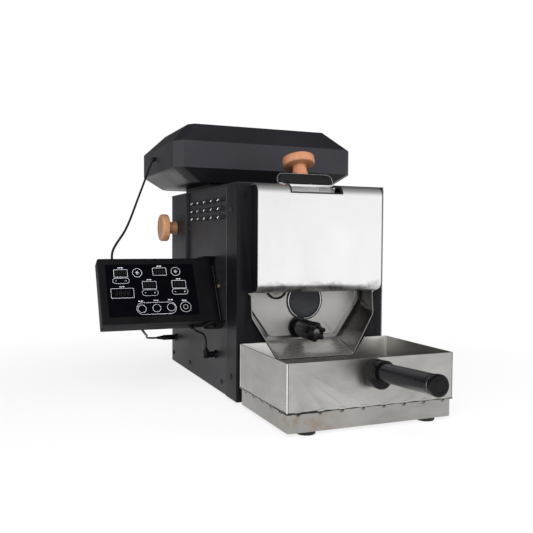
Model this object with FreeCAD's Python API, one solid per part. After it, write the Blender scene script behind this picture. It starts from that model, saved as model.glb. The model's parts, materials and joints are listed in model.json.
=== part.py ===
"""Home coffee bean roaster: a sheet-metal cabinet with a horizontal drum inside, a bevelled exhaust hood above it,
a front cover with a bean inlet and its hinged lid, a discharge pocket with a hinged drum door, a cooling tray that
pulls out to the front, and a control panel that swivels beside the cabinet.

Lengths are in millimetres. While the pieces are made, x is 0 on the cabinet's middle, y is 0 on its front plate with
+Y towards the back, and z is 0 on the worktop. At the end everything moves so that the origin is the middle of the
whole roaster's footprint."""
import FreeCAD
import Part
import math
import os

os.makedirs("parts", exist_ok=True)
Vector = FreeCAD.Vector

# ---- cabinet ----
cabinet_width = 200.0
cabinet_depth = 307.0
cabinet_top = 265.0
sheet = 1.2
frame_return = 38.0          # how far the front frame wraps round each side
frame_lap = 6.0              # where the side panels start, behind the front plate
bend_radius = 2.0
pad_height = 3.0
pad_radius = 11.0
pad_inset_x = 24.0
pad_inset_y = 26.0
flange_height = 12.0
flange_setback = 8.0
# ---- louvres in both side panels ----
louvre_length = 22.0
louvre_height = 5.0
louvre_rise = 3.2
louvre_sheet = 0.8
louvre_first_y = 59.0
louvre_pitch_y = 30.0
louvre_columns = 5
louvre_rows = [226.0, 237.0, 248.0]
# ---- raised duct cover on the left side ----
duct_cover_length = 81.0
duct_cover_bottom = 118.0
duct_cover_rise = 5.0
# ---- drum and its housing ----
drum_x = -7.0
drum_z = 142.0
drum_radius = 58.0
drum_wall = 1.5
drum_front = 38.2
drum_length = 150.0
vane_height = 12.0
vane_count = 4
shaft_radius = 6.0
housing_room = 12.0          # between the drum and the outside of its housing
saddle_places = (44.0, 176.0)
saddle_half = 60.0
saddle_sheet = 2.0
saddle_drop = 30.0
saddle_post = 12.0
tunnel_top = 52.0
housing_wall = 1.5
jacket_wall = 6.0
face_plate = 2.8
bearing_plate = 3.0
bearing_radius = 16.0
bearing_length = 12.0
running_gap = 0.05
heater_radius = 3.0
heater_gap = 1.0             # from the heating rods to the housing
heater_angles = [-125.0, -90.0, -55.0]
motor_radius = 22.0
motor_length = 52.0
# ---- discharge pocket and door ----
pocket_back = 33.0
pocket_sheet = 1.0
pocket_floor_half = 50.0     # half width of the pocket's floor at the back
pocket_floor_z = 70.0
pocket_side_half = 82.0
pocket_side_z = 116.0
lip_y = -11.5
lip_z = 54.3
lip_half = 51.2
mouth_half = 82.5
mouth_side_z = 104.0
shoulder_bend = 10.0
floor_bend = 5.0
bend_steps = 4
pocket_ear = 5.0
pocket_ear_drop = 4.5
mouth_top_y = -3.0
pocket_top = 133.4
door_sheet = 2.5
door_half = 45.0             # half width of the door's bottom edge
door_bottom = 75.5
door_shoulder_half = 75.5
door_shoulder_z = 119.0
door_top = 149.6
door_corner = 6.0
door_seat = 0.05             # the shut door stands this far off its flange
door_lap = 4.0
door_hinge_z = 152.5
door_hinge_pin = 1.5
door_hinge_wall = 1.3
glass_x = 3.0
glass_z = 119.5
glass_radius = 21.6
ring_radius = 25.0
ring_rise = 1.6
sight_top = 139.0            # upper end of the opening in the drum's face plate
port_x = -36.5
port_z = 136.2
port_radius = 13.0
port_wall = 3.4
latch_x = -7.0
latch_z = 86.2
latch_collar_radius = 6.5    # behind the knob's flange, which stands in front of the sight ring
latch_flange_radius = 13.2
latch_flange = 3.5
latch_hub_radius = 9.5
latch_hub_end = 13.0         # y where the knob's body starts
star_body_radius = 11.6
star_body_end = -17.0
star_end = -26.0
star_radius = 11.9
star_lobes = 6
spindle_radius = 3.0
tongue_sheet = 2.0
tongue_reach = 12.5
tongue_notch = 15.0          # half width of the room that the tongue turns in
# ---- front cover ----
cover_half = 83.0
cover_out = 24.0
cover_top = 262.8
cover_bottom = 134.1
cover_bend = 11.3
cover_sheet = 1.5
cover_corner = 5.0
cheek_inset = 1.0
inlet_left = -40.3
inlet_right = 26.3
inlet_sill = 254.0
trim_width = 1.5
trim_lap = 0.8
# ---- bean inlet and lid ----
hopper_sheet = 1.0
hopper_gap = 1.0
hopper_front = -20.5
hopper_back = 38.0
hopper_shelf = 236.0
hopper_wide_left = -41.3
hopper_wide_right = 27.3
throat_left = -24.0
throat_right = 10.0
throat_bottom = 160.0
throat_top = 184.0
rim = 4.0
rim_sheet = 1.0
lid_x = -7.0
lid_length = 31.0
lid_front_width = 75.5
knob_setback = 11.0          # from the lid's front edge to the knob's axis
lid_plate_width = 57.0
lid_rear_width = 36.0
lid_sheet = 1.0
lid_apron = 12.0
lid_corner = 8.0
lid_clearance = 0.4
lid_slope_deg = 19.0
lid_hinge_y = 42.4
lid_pin = 1.5
lid_knuckle = 3.0
knuckle_half = 19.5
hinge_base = 0.6
ear_width = 3.0
ear_gap = 0.3
# ---- turned wood knobs ----
knob_radius = 20.5
knob_thickness = 11.5
knob_round = 2.5
shank_radius = 8.8
shank_foot_radius = 10.3
lid_shank = 16.0
damper_shank = 13.0
# ---- exhaust duct and damper ----
damper_z = 214.0
damper_shaft = 4.0
duct_half = 46.0
duct_depth = 52.0
duct_setback = 17.0          # from the duct to the back of the cabinet
duct_bottom = 176.0
duct_elbow_top = 206.0
damper_gap = 1.5
# ---- hood ----
hood_half = 136.5
hood_depth = 214.6
hood_overhang = 51.0         # how far the hood stands out behind the cabinet
hood_bottom = 276.0
hood_band_low = 295.0
hood_band_high = 331.5
hood_top = 360.0
hood_chamfer_x = 11.0
hood_chamfer_y = 14.0
hood_top_inset_x = 28.6
hood_top_inset_y = 32.0
hood_bottom_inset_x = 28.0
hood_bottom_inset_y = 12.0
hood_top_chamfer = 10.0
neck_half = 78.0
neck_depth = 128.0
neck_setback = 7.0
fan_setback = 57.0
fan_low = 295.0
fan_radius = 46.0
fan_hub_radius = 17.0
fan_height = 20.0
fan_blades = 7
pin_radius = 2.0
# ---- cooling tray ----
tray_half = 100.0
tray_front = -146.0
tray_back = -10.5
tray_top = 75.0
tray_seam = 24.5
tray_sheet = 1.2
tray_base_inset = 1.5
tray_base_corner = 3.0
tray_foot_height = 4.2
tray_foot_radius = 10.0
tray_foot_x = 73.0
tray_foot_front = -133.5
tray_foot_back = -34.0
tray_floor_sheet = 1.0
hole_radius = 1.6
hole_pitch = 11.0
tab_pitch = 25.0
notch_gap = 0.8
notch_bend = 6.0
slot_half = 36.0              # the cooling duct between the tray and the blower
slot_low = 8.0
slot_high = 21.0
duct_wall = 1.5
blower_y = 102.0
blower_radius = 44.0
blower_height = 40.0
vent_half = 24.0
# ---- tray handle ----
handle_z = 59.5
handle_rise = 3.0            # from the middle of the mount to the grip's axis
handle_tilt_deg = 3.0
mount_width = 23.0
mount_height = 30.0
mount_depth = 17.0
mount_corner = 11.0
mount_collar = 2.4
grip_radius = 9.8
grip_length = 82.0
grip_cap_radius = 10.5
grip_cap_length = 7.0
grip_cap_gap = 1.0
bolt_radius = 3.0
# ---- control panel ----
panel_tilt_deg = 27.5
pivot_reach = 14.2           # from the side panel to the swivel axis
pivot_y = 55.2
pivot_z = 91.3
panel_length = 136.3
panel_height = 85.6
panel_depth = 22.7
panel_corner = 3.0
glass_margin_left = 8.5
glass_margin_right = 17.5
glass_margin_top = 7.7
glass_margin_bottom = 9.1
glass_depth = 1.5
board_sheet = 1.6
ear_radius = 12.0
ear_sheet = 2.5
ear_clearance = 0.5
bracket_screw_y = 8.2
bracket_screw_heights = (12.0, 74.0)
pivot_radius = 2.5
pivot_head = 4.5
web_sheet = 2.0
web_front = -0.5             # the web stands behind the swivel axis
# ---- sockets, plugs and cables ----
cable_radius = 1.5
side_jack_y = 82.0
side_jack_z = 48.0
rear_jack_setback = 25.0
rear_jack_z = 43.0
jack_radius = 5.5
jack_height = 3.0
plug_radius = 4.0
side_plug_reach = 10.7       # from the jack to the elbow plug's bend
plug_length = 18.0
plug_tail = 10.0
elbow_height = 9.0
gland_y = 261.2
gland_z = 317.0
gland_radius = 2.8
gland_length = 4.0
gland_drop = 6.0
gland_way = Vector(-0.413, -0.262, -0.872)
gland_way.normalize()
hood_cable_x = -116.0        # along the panel, from its swivel axis
rear_cable_x = -84.0
side_cable_x = -27.0
relief_radius = 2.4
relief_length = 4.0
# ---- back of the cabinet ----
inlet_x = 55.0
inlet_z = 42.0
inlet_width = 27.0
inlet_height = 20.0
rear_slots = 10
rear_slot_pitch = 14.0
rear_slot_half = 3.0
rear_slot_low = 150.0
rear_slot_high = 205.0
screw_radius = 3.2
screw_head = 1.4

# ---- worked out from the sizes above ----
half = cabinet_width / 2
side_outer = half - sheet                # outer face of the side panels, one sheet inside the frame's returns
side_inner = side_outer - sheet
housing_radius = drum_radius + housing_room
heater_circle = housing_radius - housing_wall - heater_radius - heater_gap
plate_half = housing_radius + jacket_wall + 2.0          # the plates in front of and behind the housing
plate_low = drum_z - housing_radius - 10.0
plate_high = drum_z + housing_radius + jacket_wall
duct_back = cabinet_depth - duct_setback
duct_front = duct_back - duct_depth
damper_y = (duct_front + duct_back) / 2
duct_cover_end = duct_back
duct_cover_start = duct_cover_end - duct_cover_length
hood_back = cabinet_depth + hood_overhang
hood_front = hood_back - hood_depth
neck_back = cabinet_depth - neck_setback
neck_front = neck_back - neck_depth
fan_y = cabinet_depth - fan_setback
pivot_x = -(side_outer + pivot_reach)
side_jack = Vector(0, side_jack_y, side_jack_z)
rear_jack = Vector(0, cabinet_depth - rear_jack_setback, rear_jack_z)
side_plug_x = -(side_outer + jack_height + side_plug_reach)
tab_count = int(2 * tray_half / tab_pitch)
plate_bottom = pad_height
plate_top = cabinet_top - sheet
drum_back = drum_front + drum_length
housing_back = drum_back + 6.0
face_front = pocket_back + pocket_sheet
housing_front = face_front + face_plate
lid_hinge_z = cabinet_top + rim_sheet + hinge_base + lid_clearance + lid_knuckle
panel_gap = side_outer + pivot_x         # from the swivel axis to the side panel, negative
knob_x = -(side_outer + duct_cover_rise)  # the face that the damper knob's shank stops at


# ---------------------------------------------------------------- shapes
def block(x0, x1, y0, y1, z0, z1):
    """A box between two corners."""
    return Part.makeBox(x1 - x0, y1 - y0, z1 - z0, Vector(x0, y0, z0))


def rod(x, y, z, axis, radius, length):
    """A round bar that starts at a point and runs along an axis."""
    return Part.makeCylinder(radius, length, Vector(x, y, z), axis)


def tube(x, y, z, axis, outer, inner, length):
    """A round bar with a bore right through it."""
    return rod(x, y, z, axis, outer, length).cut(rod(x, y, z, axis, inner, length))


def face_of(points):
    """A flat face inside a closed outline of points."""
    return Part.Face(Part.makePolygon(points + [points[0]]))


def prism(points, way):
    """A flat outline pushed along a vector."""
    return face_of(points).extrude(way)


def loft(first, second):
    """A solid with straight sides between two outlines that have as many points."""
    wires = [Part.makePolygon(points + [points[0]]) for points in (first, second)]
    return Part.makeLoft(wires, True, True)


def fuse(shapes):
    """All shapes as one solid, with the seams between flat faces taken out."""
    whole = shapes[0].multiFuse(shapes[1:]) if len(shapes) > 1 else shapes[0]
    return whole.removeSplitter()


def cut(shape, tools):
    """A shape with every tool taken out of it."""
    for tool in tools:
        shape = shape.cut(tool)
    return shape


def group(shapes):
    """Separate solids that share one node."""
    return Part.makeCompound(shapes)


def round_edges(shape, radius, test):
    """Rounds the edges whose middle point passes the test."""
    edges = []
    for edge in shape.Edges:
        middle = edge.valueAt((edge.FirstParameter + edge.LastParameter) / 2)
        if test(middle, edge):
            edges.append(edge)
    return shape.makeFillet(radius, edges)


def along(edge, axis):
    """Whether a straight edge runs along an axis."""
    if len(edge.Vertexes) < 2:
        return False
    run = edge.Vertexes[1].Point.sub(edge.Vertexes[0].Point)
    return run.Length > 0.01 and abs(abs(run.dot(axis)) - run.Length) < 1e-6


def mirrored(points):
    """An outline given for +X, with its mirror image for -X added in reverse."""
    return points + [Vector(-p.x, p.y, p.z) for p in reversed(points)]


X = Vector(1, 0, 0)
Y = Vector(0, 1, 0)
Z = Vector(0, 0, 1)


# ---------------------------------------------------------------- cabinet
def bent_outline(corners):
    """Half of the pocket's outline, from its top to the middle of its floor, with its two folds as arcs."""
    top, shoulder, fold = corners
    bent = [top]
    for before, corner, after, radius in ((top, shoulder, fold, shoulder_bend),
                                          (shoulder, fold, Vector(0, fold.y, fold.z), floor_bend)):
        back = before.sub(corner)
        ahead = after.sub(corner)
        back.normalize()
        ahead.normalize()
        opening = back.getAngle(ahead)
        middle = back.add(ahead)
        middle.normalize()
        centre = corner.add(middle * (radius / math.sin(opening / 2)))
        first = corner.add(back * (radius / math.tan(opening / 2))).sub(centre)
        last = corner.add(ahead * (radius / math.tan(opening / 2))).sub(centre)
        for i in range(bend_steps + 1):
            share = i / bend_steps
            spoke = first * (1 - share) + last * share
            spoke.normalize()
            bent.append(centre.add(spoke * radius))
    return bent


def pocket_outline(spread=0.0, top=pocket_top):
    """The discharge pocket's outline where its walls start, at the back."""
    return mirrored(bent_outline([Vector(pocket_side_half + spread, pocket_back, top),
                                  Vector(pocket_side_half + spread, pocket_back, pocket_side_z),
                                  Vector(pocket_floor_half + spread, pocket_back, pocket_floor_z - spread)]))


def mouth_y(z):
    """The pocket's front rim leans back from its lip to its top."""
    return lip_y + (mouth_top_y - lip_y) * (z - lip_z) / (pocket_top - lip_z)


def mouth_outline(spread=0.0, top=pocket_top, forward=0.0):
    """The discharge pocket's outline at its front rim."""
    corners = [(mouth_half + spread, top), (mouth_half + spread, mouth_side_z), (lip_half + spread, lip_z - spread)]
    bent = bent_outline([Vector(x, 0, z) for x, z in corners])
    return mirrored([Vector(p.x, mouth_y(p.z) - forward, p.z) for p in bent])


def pocket_section(spread):
    """The pocket's outline where it passes through the front plate."""
    middle = []
    for back, front in zip(pocket_outline(spread), mouth_outline(spread)):
        share = back.y / (back.y - front.y)
        middle.append(Vector(back.x + (front.x - back.x) * share, 0, back.z + (front.z - back.z) * share))
    return middle


def base_pan():
    """The floor of the cabinet, with the two upright saddles that carry the drum's housing."""
    plate = block(-side_inner, side_inner, sheet, cabinet_depth - sheet, plate_bottom, plate_bottom + sheet)
    shapes = [plate]
    for side in (-1, 1):
        low, high = sorted((side * side_inner, side * (side_inner - sheet)))
        shapes.append(block(low, high, flange_setback, cabinet_depth - flange_setback, plate_bottom + sheet,
                            plate_bottom + flange_height))
    for y in saddle_places:
        saddle = block(drum_x - saddle_half, drum_x + saddle_half, y, y + saddle_sheet, plate_bottom + sheet,
                       drum_z - saddle_drop)
        round_cut = rod(drum_x, y - 1, drum_z, Y, housing_radius + jacket_wall, saddle_sheet + 2)
        tunnel = block(drum_x - saddle_half + saddle_post, drum_x + saddle_half - saddle_post, y - 1,
                       y + saddle_sheet + 1, plate_bottom + 2 * sheet, tunnel_top)
        shapes.append(cut(saddle, [round_cut, tunnel]))
    vents = [block(drum_x - 30 + 12 * i, drum_x - 24 + 12 * i, blower_y - vent_half, blower_y + vent_half, 0,
                   plate_bottom + 2 * sheet) for i in range(6)]
    return cut(fuse(shapes), vents)


def cabinet_pads():
    pads = []
    for x in (-half + pad_inset_x, half - pad_inset_x):
        for y in (pad_inset_y, cabinet_depth - pad_inset_y):
            pad = rod(x, y, 0, Z, pad_radius, pad_height)
            pads.append(pad.makeChamfer(0.8, [e for e in pad.Edges if e.BoundBox.ZMax < 0.01]))
    return group(pads)


def front_frame():
    outer = block(-half, half, 0, frame_return, plate_bottom, plate_top)
    outer = round_edges(outer, bend_radius, lambda p, e: along(e, Z) and p.y < 0.1)
    inner = block(-half + sheet, half - sheet, sheet, frame_return + 1, plate_bottom - 1, plate_top + 1)
    inner = round_edges(inner, bend_radius - sheet, lambda p, e: along(e, Z) and p.y < sheet + 0.1)
    section = pocket_section(pocket_sheet + 0.3)
    window = prism(section, Vector(0, 3 * sheet, 0))
    window.translate(Vector(0, -sheet, 0))
    hopper_way = block(hopper_left() - hopper_gap, hopper_right() + hopper_gap, -1, 2 * sheet, 146, cabinet_top)
    return cut(outer, [inner, window, hopper_way, air_duct(duct_wall, -1, 2 * sheet)])


def louvre(y, z, side):
    """One pressed louvre: a wedge that stands out of the side panel and opens downwards, and its hollow."""
    x = side * side_outer
    low = z - louvre_height / 2

    def wedge(inset, back, drop):
        ends = y - louvre_length / 2 + inset
        profile = [Vector(x - side * back, ends, low - drop),
                   Vector(x + side * (louvre_rise - inset), ends, low - drop),
                   Vector(x - side * back, ends, z + louvre_height / 2 - inset)]
        return prism(profile, Vector(0, louvre_length - 2 * inset, 0))

    return wedge(0, 0, 0), wedge(louvre_sheet, 2 * sheet, 0.5)


def side_panel(side):
    low, high = sorted((side * side_inner, side * side_outer))
    panel = block(low, high, frame_lap, cabinet_depth, plate_bottom, plate_top)
    wedges = []
    slots = []
    for row in louvre_rows:
        for column in range(louvre_columns):
            solid, hollow = louvre(louvre_first_y + column * louvre_pitch_y, row, side)
            wedges.append(solid)
            slots.append(hollow)
    panel = panel.multiFuse(wedges)
    panel = panel.cut(Part.makeCompound(slots))
    if side < 0:
        panel = cut(panel, [rod(-half - 10, damper_y, damper_z, X, damper_shaft + running_gap, 20)])
    return panel


def top_panel():
    plate = block(-half, half, 0, cabinet_depth, plate_top, cabinet_top)
    hopper_hole = block(hopper_wide_left - 0.5, hopper_wide_right + 0.5, -1, hopper_back + 0.5, 0, cabinet_top + 1)
    wall = 2 * sheet
    neck_hole = block(-neck_half + wall, neck_half - wall, neck_front + wall, neck_back - wall, 0, cabinet_top + 1)
    return cut(plate, [hopper_hole, neck_hole])


def rear_panel():
    plate = block(-side_inner, side_inner, cabinet_depth - sheet, cabinet_depth, plate_bottom, plate_top)
    through = (cabinet_depth - 3 * sheet, cabinet_depth + sheet)
    first = -rear_slot_pitch * (rear_slots - 1) / 2 + 4
    slots = [block(x - rear_slot_half, x + rear_slot_half, *through, rear_slot_low, rear_slot_high)
             for x in (first + rear_slot_pitch * i for i in range(rear_slots))]
    socket = block(inlet_x - inlet_width / 2, inlet_x + inlet_width / 2, *through,
                   inlet_z - inlet_height / 2, inlet_z + inlet_height / 2)
    return cut(plate, slots + [socket])


def duct_cover():
    """The raised box on the left side that covers the exhaust duct's flange; the damper's shaft runs through it."""
    box = block(-side_outer - duct_cover_rise, -side_outer, duct_cover_start, duct_cover_end,
                duct_cover_bottom, plate_top)
    box = round_edges(box, 1.5, lambda p, e: p.x < -side_outer - duct_cover_rise + 0.01)
    hollow = block(-side_outer - duct_cover_rise + sheet, -side_outer + 1, duct_cover_start + sheet,
                   duct_cover_end - sheet, duct_cover_bottom + sheet, plate_top - sheet)
    bore = rod(-half - 20, damper_y, damper_z, X, damper_shaft + running_gap, 40)
    return cut(box, [hollow, bore])


def screw(x, y, z, way):
    """A pan head that sits on a panel, with a cross recess."""
    head = rod(x, y, z, way, screw_radius, screw_head)
    rounded = [e for e in head.Edges if abs(e.BoundBox.Center.sub(Vector(x, y, z)).dot(way) - screw_head) < 0.01]
    head = head.makeFillet(0.7, rounded[:1])
    side_way = Vector(way.y, way.z, way.x)
    slots = []
    for first, second in ((side_way, way.cross(side_way)), (way.cross(side_way), side_way)):
        centre = Vector(x, y, z).add(way * (screw_head - 0.6))
        corners = [centre + first * 2.0 + second * 0.35, centre - first * 2.0 + second * 0.35,
                   centre - first * 2.0 - second * 0.35, centre + first * 2.0 - second * 0.35]
        slots.append(prism(corners, way * 2))
    return cut(head, slots)


def cabinet_screws():
    places = [(-half, 22, 233.5), (-half, 22, 30)]
    beside = duct_cover_start - 5
    behind = cabinet_depth - 10
    places += [(-side_outer, y, z) for y, z in ((beside, 212), (60, 16), (beside, 16), (behind, 16), (behind, 250))]
    heads = [screw(x, y, z, Vector(-1, 0, 0)) for x, y, z in places + [(-side_outer, 71.5, 137.6)]]
    heads += [screw(-x, y, z, Vector(1, 0, 0)) for x, y, z in places]
    for height in bracket_screw_heights:
        place = panel_point(Vector(0, bracket_screw_y, height))
        heads.append(screw(-side_outer - web_sheet, place.y, place.z, Vector(-1, 0, 0)))
    heads += [screw(x, cabinet_depth, z, Vector(0, 1, 0)) for x in (-88, 88) for z in (16, 135, 250)]
    heads += [screw(x, 0, z, Vector(0, -1, 0)) for x in (-92, 92) for z in (18, 250)]
    return group(heads)


# ---------------------------------------------------------------- front cover
def cover_profile(offset, x):
    """The cover's side outline: flat front, rounded top and bottom bends, open towards the cabinet."""
    radius = cover_bend + offset
    front = -cover_out - offset
    top = cover_top + offset
    bottom = cover_bottom - offset
    diagonal = radius * math.sqrt(0.5)
    upper = Vector(x, front + radius, top - radius)
    lower = Vector(x, front + radius, bottom + radius)

    def at(y, z):
        return Vector(x, y, z)

    edges = [Part.LineSegment(at(0, top), at(upper.y, top)).toShape(),
             Part.Arc(at(upper.y, top), at(upper.y - diagonal, upper.z + diagonal), at(front, upper.z)).toShape(),
             Part.LineSegment(at(front, upper.z), at(front, lower.z)).toShape(),
             Part.Arc(at(front, lower.z), at(lower.y - diagonal, lower.z - diagonal), at(lower.y, bottom)).toShape(),
             Part.LineSegment(at(lower.y, bottom), at(0, bottom)).toShape(),
             Part.LineSegment(at(0, bottom), at(0, top)).toShape()]
    return Part.Face(Part.Wire(edges))


def cover_band(outer_offset, inner_offset, x0, x1):
    """The wrapped sheet between two offsets of the cover's outline."""
    outer = cover_profile(outer_offset, x0).extrude(Vector(x1 - x0, 0, 0))
    inner = cover_profile(inner_offset, x0 - 1).extrude(Vector(x1 - x0 + 2, 0, 0))
    return outer.cut(inner).cut(block(x0 - 1, x1 + 1, 0, 1, 0, cabinet_top + 50))


def cover_front_view():
    """The cover as seen from the front, with its two lower corners rounded."""
    shape = block(-cover_half, cover_half, -cover_out - 2, 1, cover_bottom, cover_top + 2)
    return round_edges(shape, cover_corner, lambda p, e: along(e, Y) and p.z < cover_bottom + 1)


def front_cover():
    band = cover_band(0, -cover_sheet, -cover_half, cover_half)
    opening = block(inlet_left - trim_width, inlet_right + trim_width, -cover_out - 2, 1,
                    inlet_sill - trim_width, cover_top + 2)
    return band.common(cover_front_view()).cut(opening)


def cover_cheeks():
    plates = []
    for side in (-1, 1):
        x = side * (cover_half - cheek_inset)
        plate = cover_profile(-cover_sheet, x).extrude(Vector(-side * sheet, 0, 0))
        plates.append(plate.common(cover_front_view()))
    return group(plates)


def inlet_trim():
    """The dark edging round the cut in the cover."""
    band = cover_band(trim_lap, -cover_sheet - trim_lap, inlet_left - trim_width, inlet_right + trim_width)
    above = block(-half, half, -cover_out - 2, 1, inlet_sill - trim_width, cabinet_top + 5)
    opening = block(inlet_left, inlet_right, -cover_out - 3, 1, inlet_sill, cabinet_top + 6)
    return band.common(above).cut(opening)


# ---------------------------------------------------------------- bean inlet
def hopper_left():
    return inlet_left + hopper_gap


def hopper_right():
    return inlet_right - hopper_gap


def hopper_solid(inset):
    """The inlet's outer form, or its hollow when inset is one sheet."""
    stretch = 1.0 if inset else 0.0
    left = hopper_left() + inset
    right = hopper_right() - inset
    front = hopper_front + inset
    wide = block(hopper_wide_left + inset, hopper_wide_right - inset, sheet + 0.6 + inset, hopper_back - inset,
                 hopper_shelf + inset, cabinet_top + stretch)
    narrow = block(left, right, front, hopper_back / 2, hopper_shelf - stretch, cover_top - cover_sheet + stretch)
    top = hopper_shelf + stretch
    back = face_front - inset
    upper = [Vector(left, front, top), Vector(right, front, top), Vector(right, back, top), Vector(left, back, top)]
    end = face_front + stretch
    lower = [Vector(throat_left + inset, end, throat_bottom + inset),
             Vector(throat_right - inset, end, throat_bottom + inset),
             Vector(throat_right - inset, end, throat_top - inset),
             Vector(throat_left + inset, end, throat_top - inset)]
    return fuse([wide, narrow, loft(upper, lower)])


def inlet_hopper():
    body = hopper_solid(0).cut(hopper_solid(hopper_sheet))
    view_cut = block(-half, half, -cover_out, hopper_front + 12, inlet_sill - 1, cabinet_top + 9)
    body = body.cut(view_cut)
    sill = block(hopper_left(), hopper_right(), -cover_out + cover_sheet + trim_lap + 0.2, hopper_front + 2, inlet_sill - 2,
                 inlet_sill - 1)
    edge = block(hopper_wide_left - rim, hopper_wide_right + rim, sheet + 0.6, hopper_back + 12,
                 cabinet_top, cabinet_top + rim_sheet)
    mouth = block(hopper_wide_left + hopper_sheet, hopper_wide_right - hopper_sheet, 0,
                  hopper_back - hopper_sheet, cabinet_top - 2, cabinet_top + 3)
    return fuse([body, sill, edge.cut(mouth)])


def lid_place(shape):
    """Moves a piece from the lid's own level frame, its hinge axis at the origin, to its slope over the rim."""
    shape.rotate(Vector(0, 0, 0), X, -lid_slope_deg)
    shape.translate(Vector(lid_x, lid_hinge_y, lid_hinge_z))
    return shape


def lid_hinge():
    """The hinge's base with its two ears and the pin."""
    base_top = cabinet_top + rim_sheet + hinge_base
    outer = knuckle_half + ear_gap + ear_width
    base = block(lid_x - outer, lid_x + outer, lid_hinge_y - 3.2, hopper_back + 12, cabinet_top + rim_sheet, base_top)
    ears = []
    for side in (-1, 1):
        x = lid_x + side * (knuckle_half + ear_gap) - (ear_width if side < 0 else 0)
        ears.append(block(x, x + ear_width, lid_hinge_y - 3.2, lid_hinge_y + 3.2, base_top, lid_hinge_z))
        ears.append(rod(x, lid_hinge_y, lid_hinge_z, X, 3.2, ear_width))
    pin = rod(lid_x - outer, lid_hinge_y, lid_hinge_z, X, lid_pin, 2 * outer)
    return fuse([base] + ears + [pin])


def inlet_lid():
    """A short plate with a rounded apron along its front edge and a knuckle along its back."""
    under = -lid_knuckle + 0.5
    top = under + lid_sheet
    front = -lid_length
    plate = prism([Vector(-lid_rear_width / 2, 1, under), Vector(lid_rear_width / 2, 1, under),
                   Vector(lid_plate_width / 2, front, under), Vector(-lid_plate_width / 2, front, under)],
                  Vector(0, 0, lid_sheet))
    apron = block(-lid_front_width / 2, lid_front_width / 2, front, front + lid_sheet, top - lid_apron, top)
    apron = round_edges(apron, lid_corner, lambda p, e: along(e, Y) and p.z > top - 0.1)
    knuckle = rod(-knuckle_half, 0, 0, X, lid_knuckle, 2 * knuckle_half)
    bore = rod(-knuckle_half - 1, 0, 0, X, lid_pin + running_gap, 2 * knuckle_half + 2)
    screw_hole = rod(0, front + knob_setback, under - 1, Z, 2.5, 4)
    return lid_place(cut(fuse([plate, apron, knuckle]), [bore, screw_hole]))


def knob_profile(shank):
    """Half the section of a turned knob: a flared shank and a rounded disc, in the X-Z plane."""
    top = shank + knob_thickness
    r = knob_round
    small = r * (1 - math.sqrt(0.5))

    def at(x, z):
        return Vector(x, 0, z)

    edges = [Part.LineSegment(at(0, 0), at(shank_foot_radius, 0)).toShape(),
             Part.Arc(at(shank_foot_radius, 0), at(shank_radius + 0.3, shank * 0.3),
                      at(shank_radius, shank)).toShape(),
             Part.LineSegment(at(shank_radius, shank), at(knob_radius - r, shank)).toShape(),
             Part.Arc(at(knob_radius - r, shank), at(knob_radius - small, shank + small),
                      at(knob_radius, shank + r)).toShape(),
             Part.LineSegment(at(knob_radius, shank + r), at(knob_radius, top - r)).toShape(),
             Part.Arc(at(knob_radius, top - r), at(knob_radius - small, top - small),
                      at(knob_radius - r, top)).toShape(),
             Part.LineSegment(at(knob_radius - r, top), at(0, top)).toShape(),
             Part.LineSegment(at(0, top), at(0, 0)).toShape()]
    return Part.Face(Part.Wire(edges))


def turned_knob(shank):
    return knob_profile(shank).revolve(Vector(0, 0, 0), Z, 360)


def lid_knob():
    knob = turned_knob(lid_shank).cut(rod(0, 0, -1, Z, 2.4, 11))
    knob.translate(Vector(0, knob_setback - lid_length, -lid_knuckle + 0.5 + lid_sheet))
    return lid_place(knob)


def lid_knob_screw():
    under = -lid_knuckle + 0.5
    head = rod(0, knob_setback - lid_length, under - 2.2, Z, 4.5, 2.2)
    head = head.makeFillet(1.2, [e for e in head.Edges if e.BoundBox.ZMax < under - 2.1])
    shank = rod(0, knob_setback - lid_length, under, Z, 2.4, lid_sheet + 9)
    return lid_place(fuse([head, shank]))


# ---------------------------------------------------------------- discharge pocket and door
def discharge_pocket():
    """The flared stainless pocket with its sloping floor, and the flange that the door closes against."""
    outer = loft(pocket_outline(pocket_sheet), mouth_outline(pocket_sheet))
    hollow = loft(pocket_outline(0, pocket_top + 5), mouth_outline(0, pocket_top + 5))
    walls = outer.cut(hollow)
    flange = prism(pocket_outline(pocket_sheet), Vector(0, pocket_sheet, 0))
    window = prism(door_outline(-door_lap, pocket_top + 2), Vector(0, 10, 0))
    return fuse([walls, flange.cut(window)] + pocket_ears())


def pocket_ears():
    """The small pointed flange that turns outwards at the top of each wall."""
    ears = []
    for side in (-1, 1):
        root = side * (mouth_half - pocket_sheet / 2)
        start = mouth_y(pocket_top)
        points = [Vector(root, start, pocket_top), Vector(side * (mouth_half + pocket_ear), start, pocket_top),
                  Vector(root, start, pocket_top - pocket_ear_drop)]
        ears.append(prism(points, Vector(0, pocket_sheet, 0)).cut(
            prism(mouth_outline(0, pocket_top + 5), Vector(0, 60, 0))))
    return ears


def door_outline(spread, top, y=pocket_back - 1):
    """The drum door's outline: narrow at the bottom, with sloping shoulders."""
    return mirrored([Vector(door_shoulder_half + spread, y, top),
                     Vector(door_shoulder_half + spread, y, door_shoulder_z),
                     Vector(door_half + spread, y, door_bottom - spread)])


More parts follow.
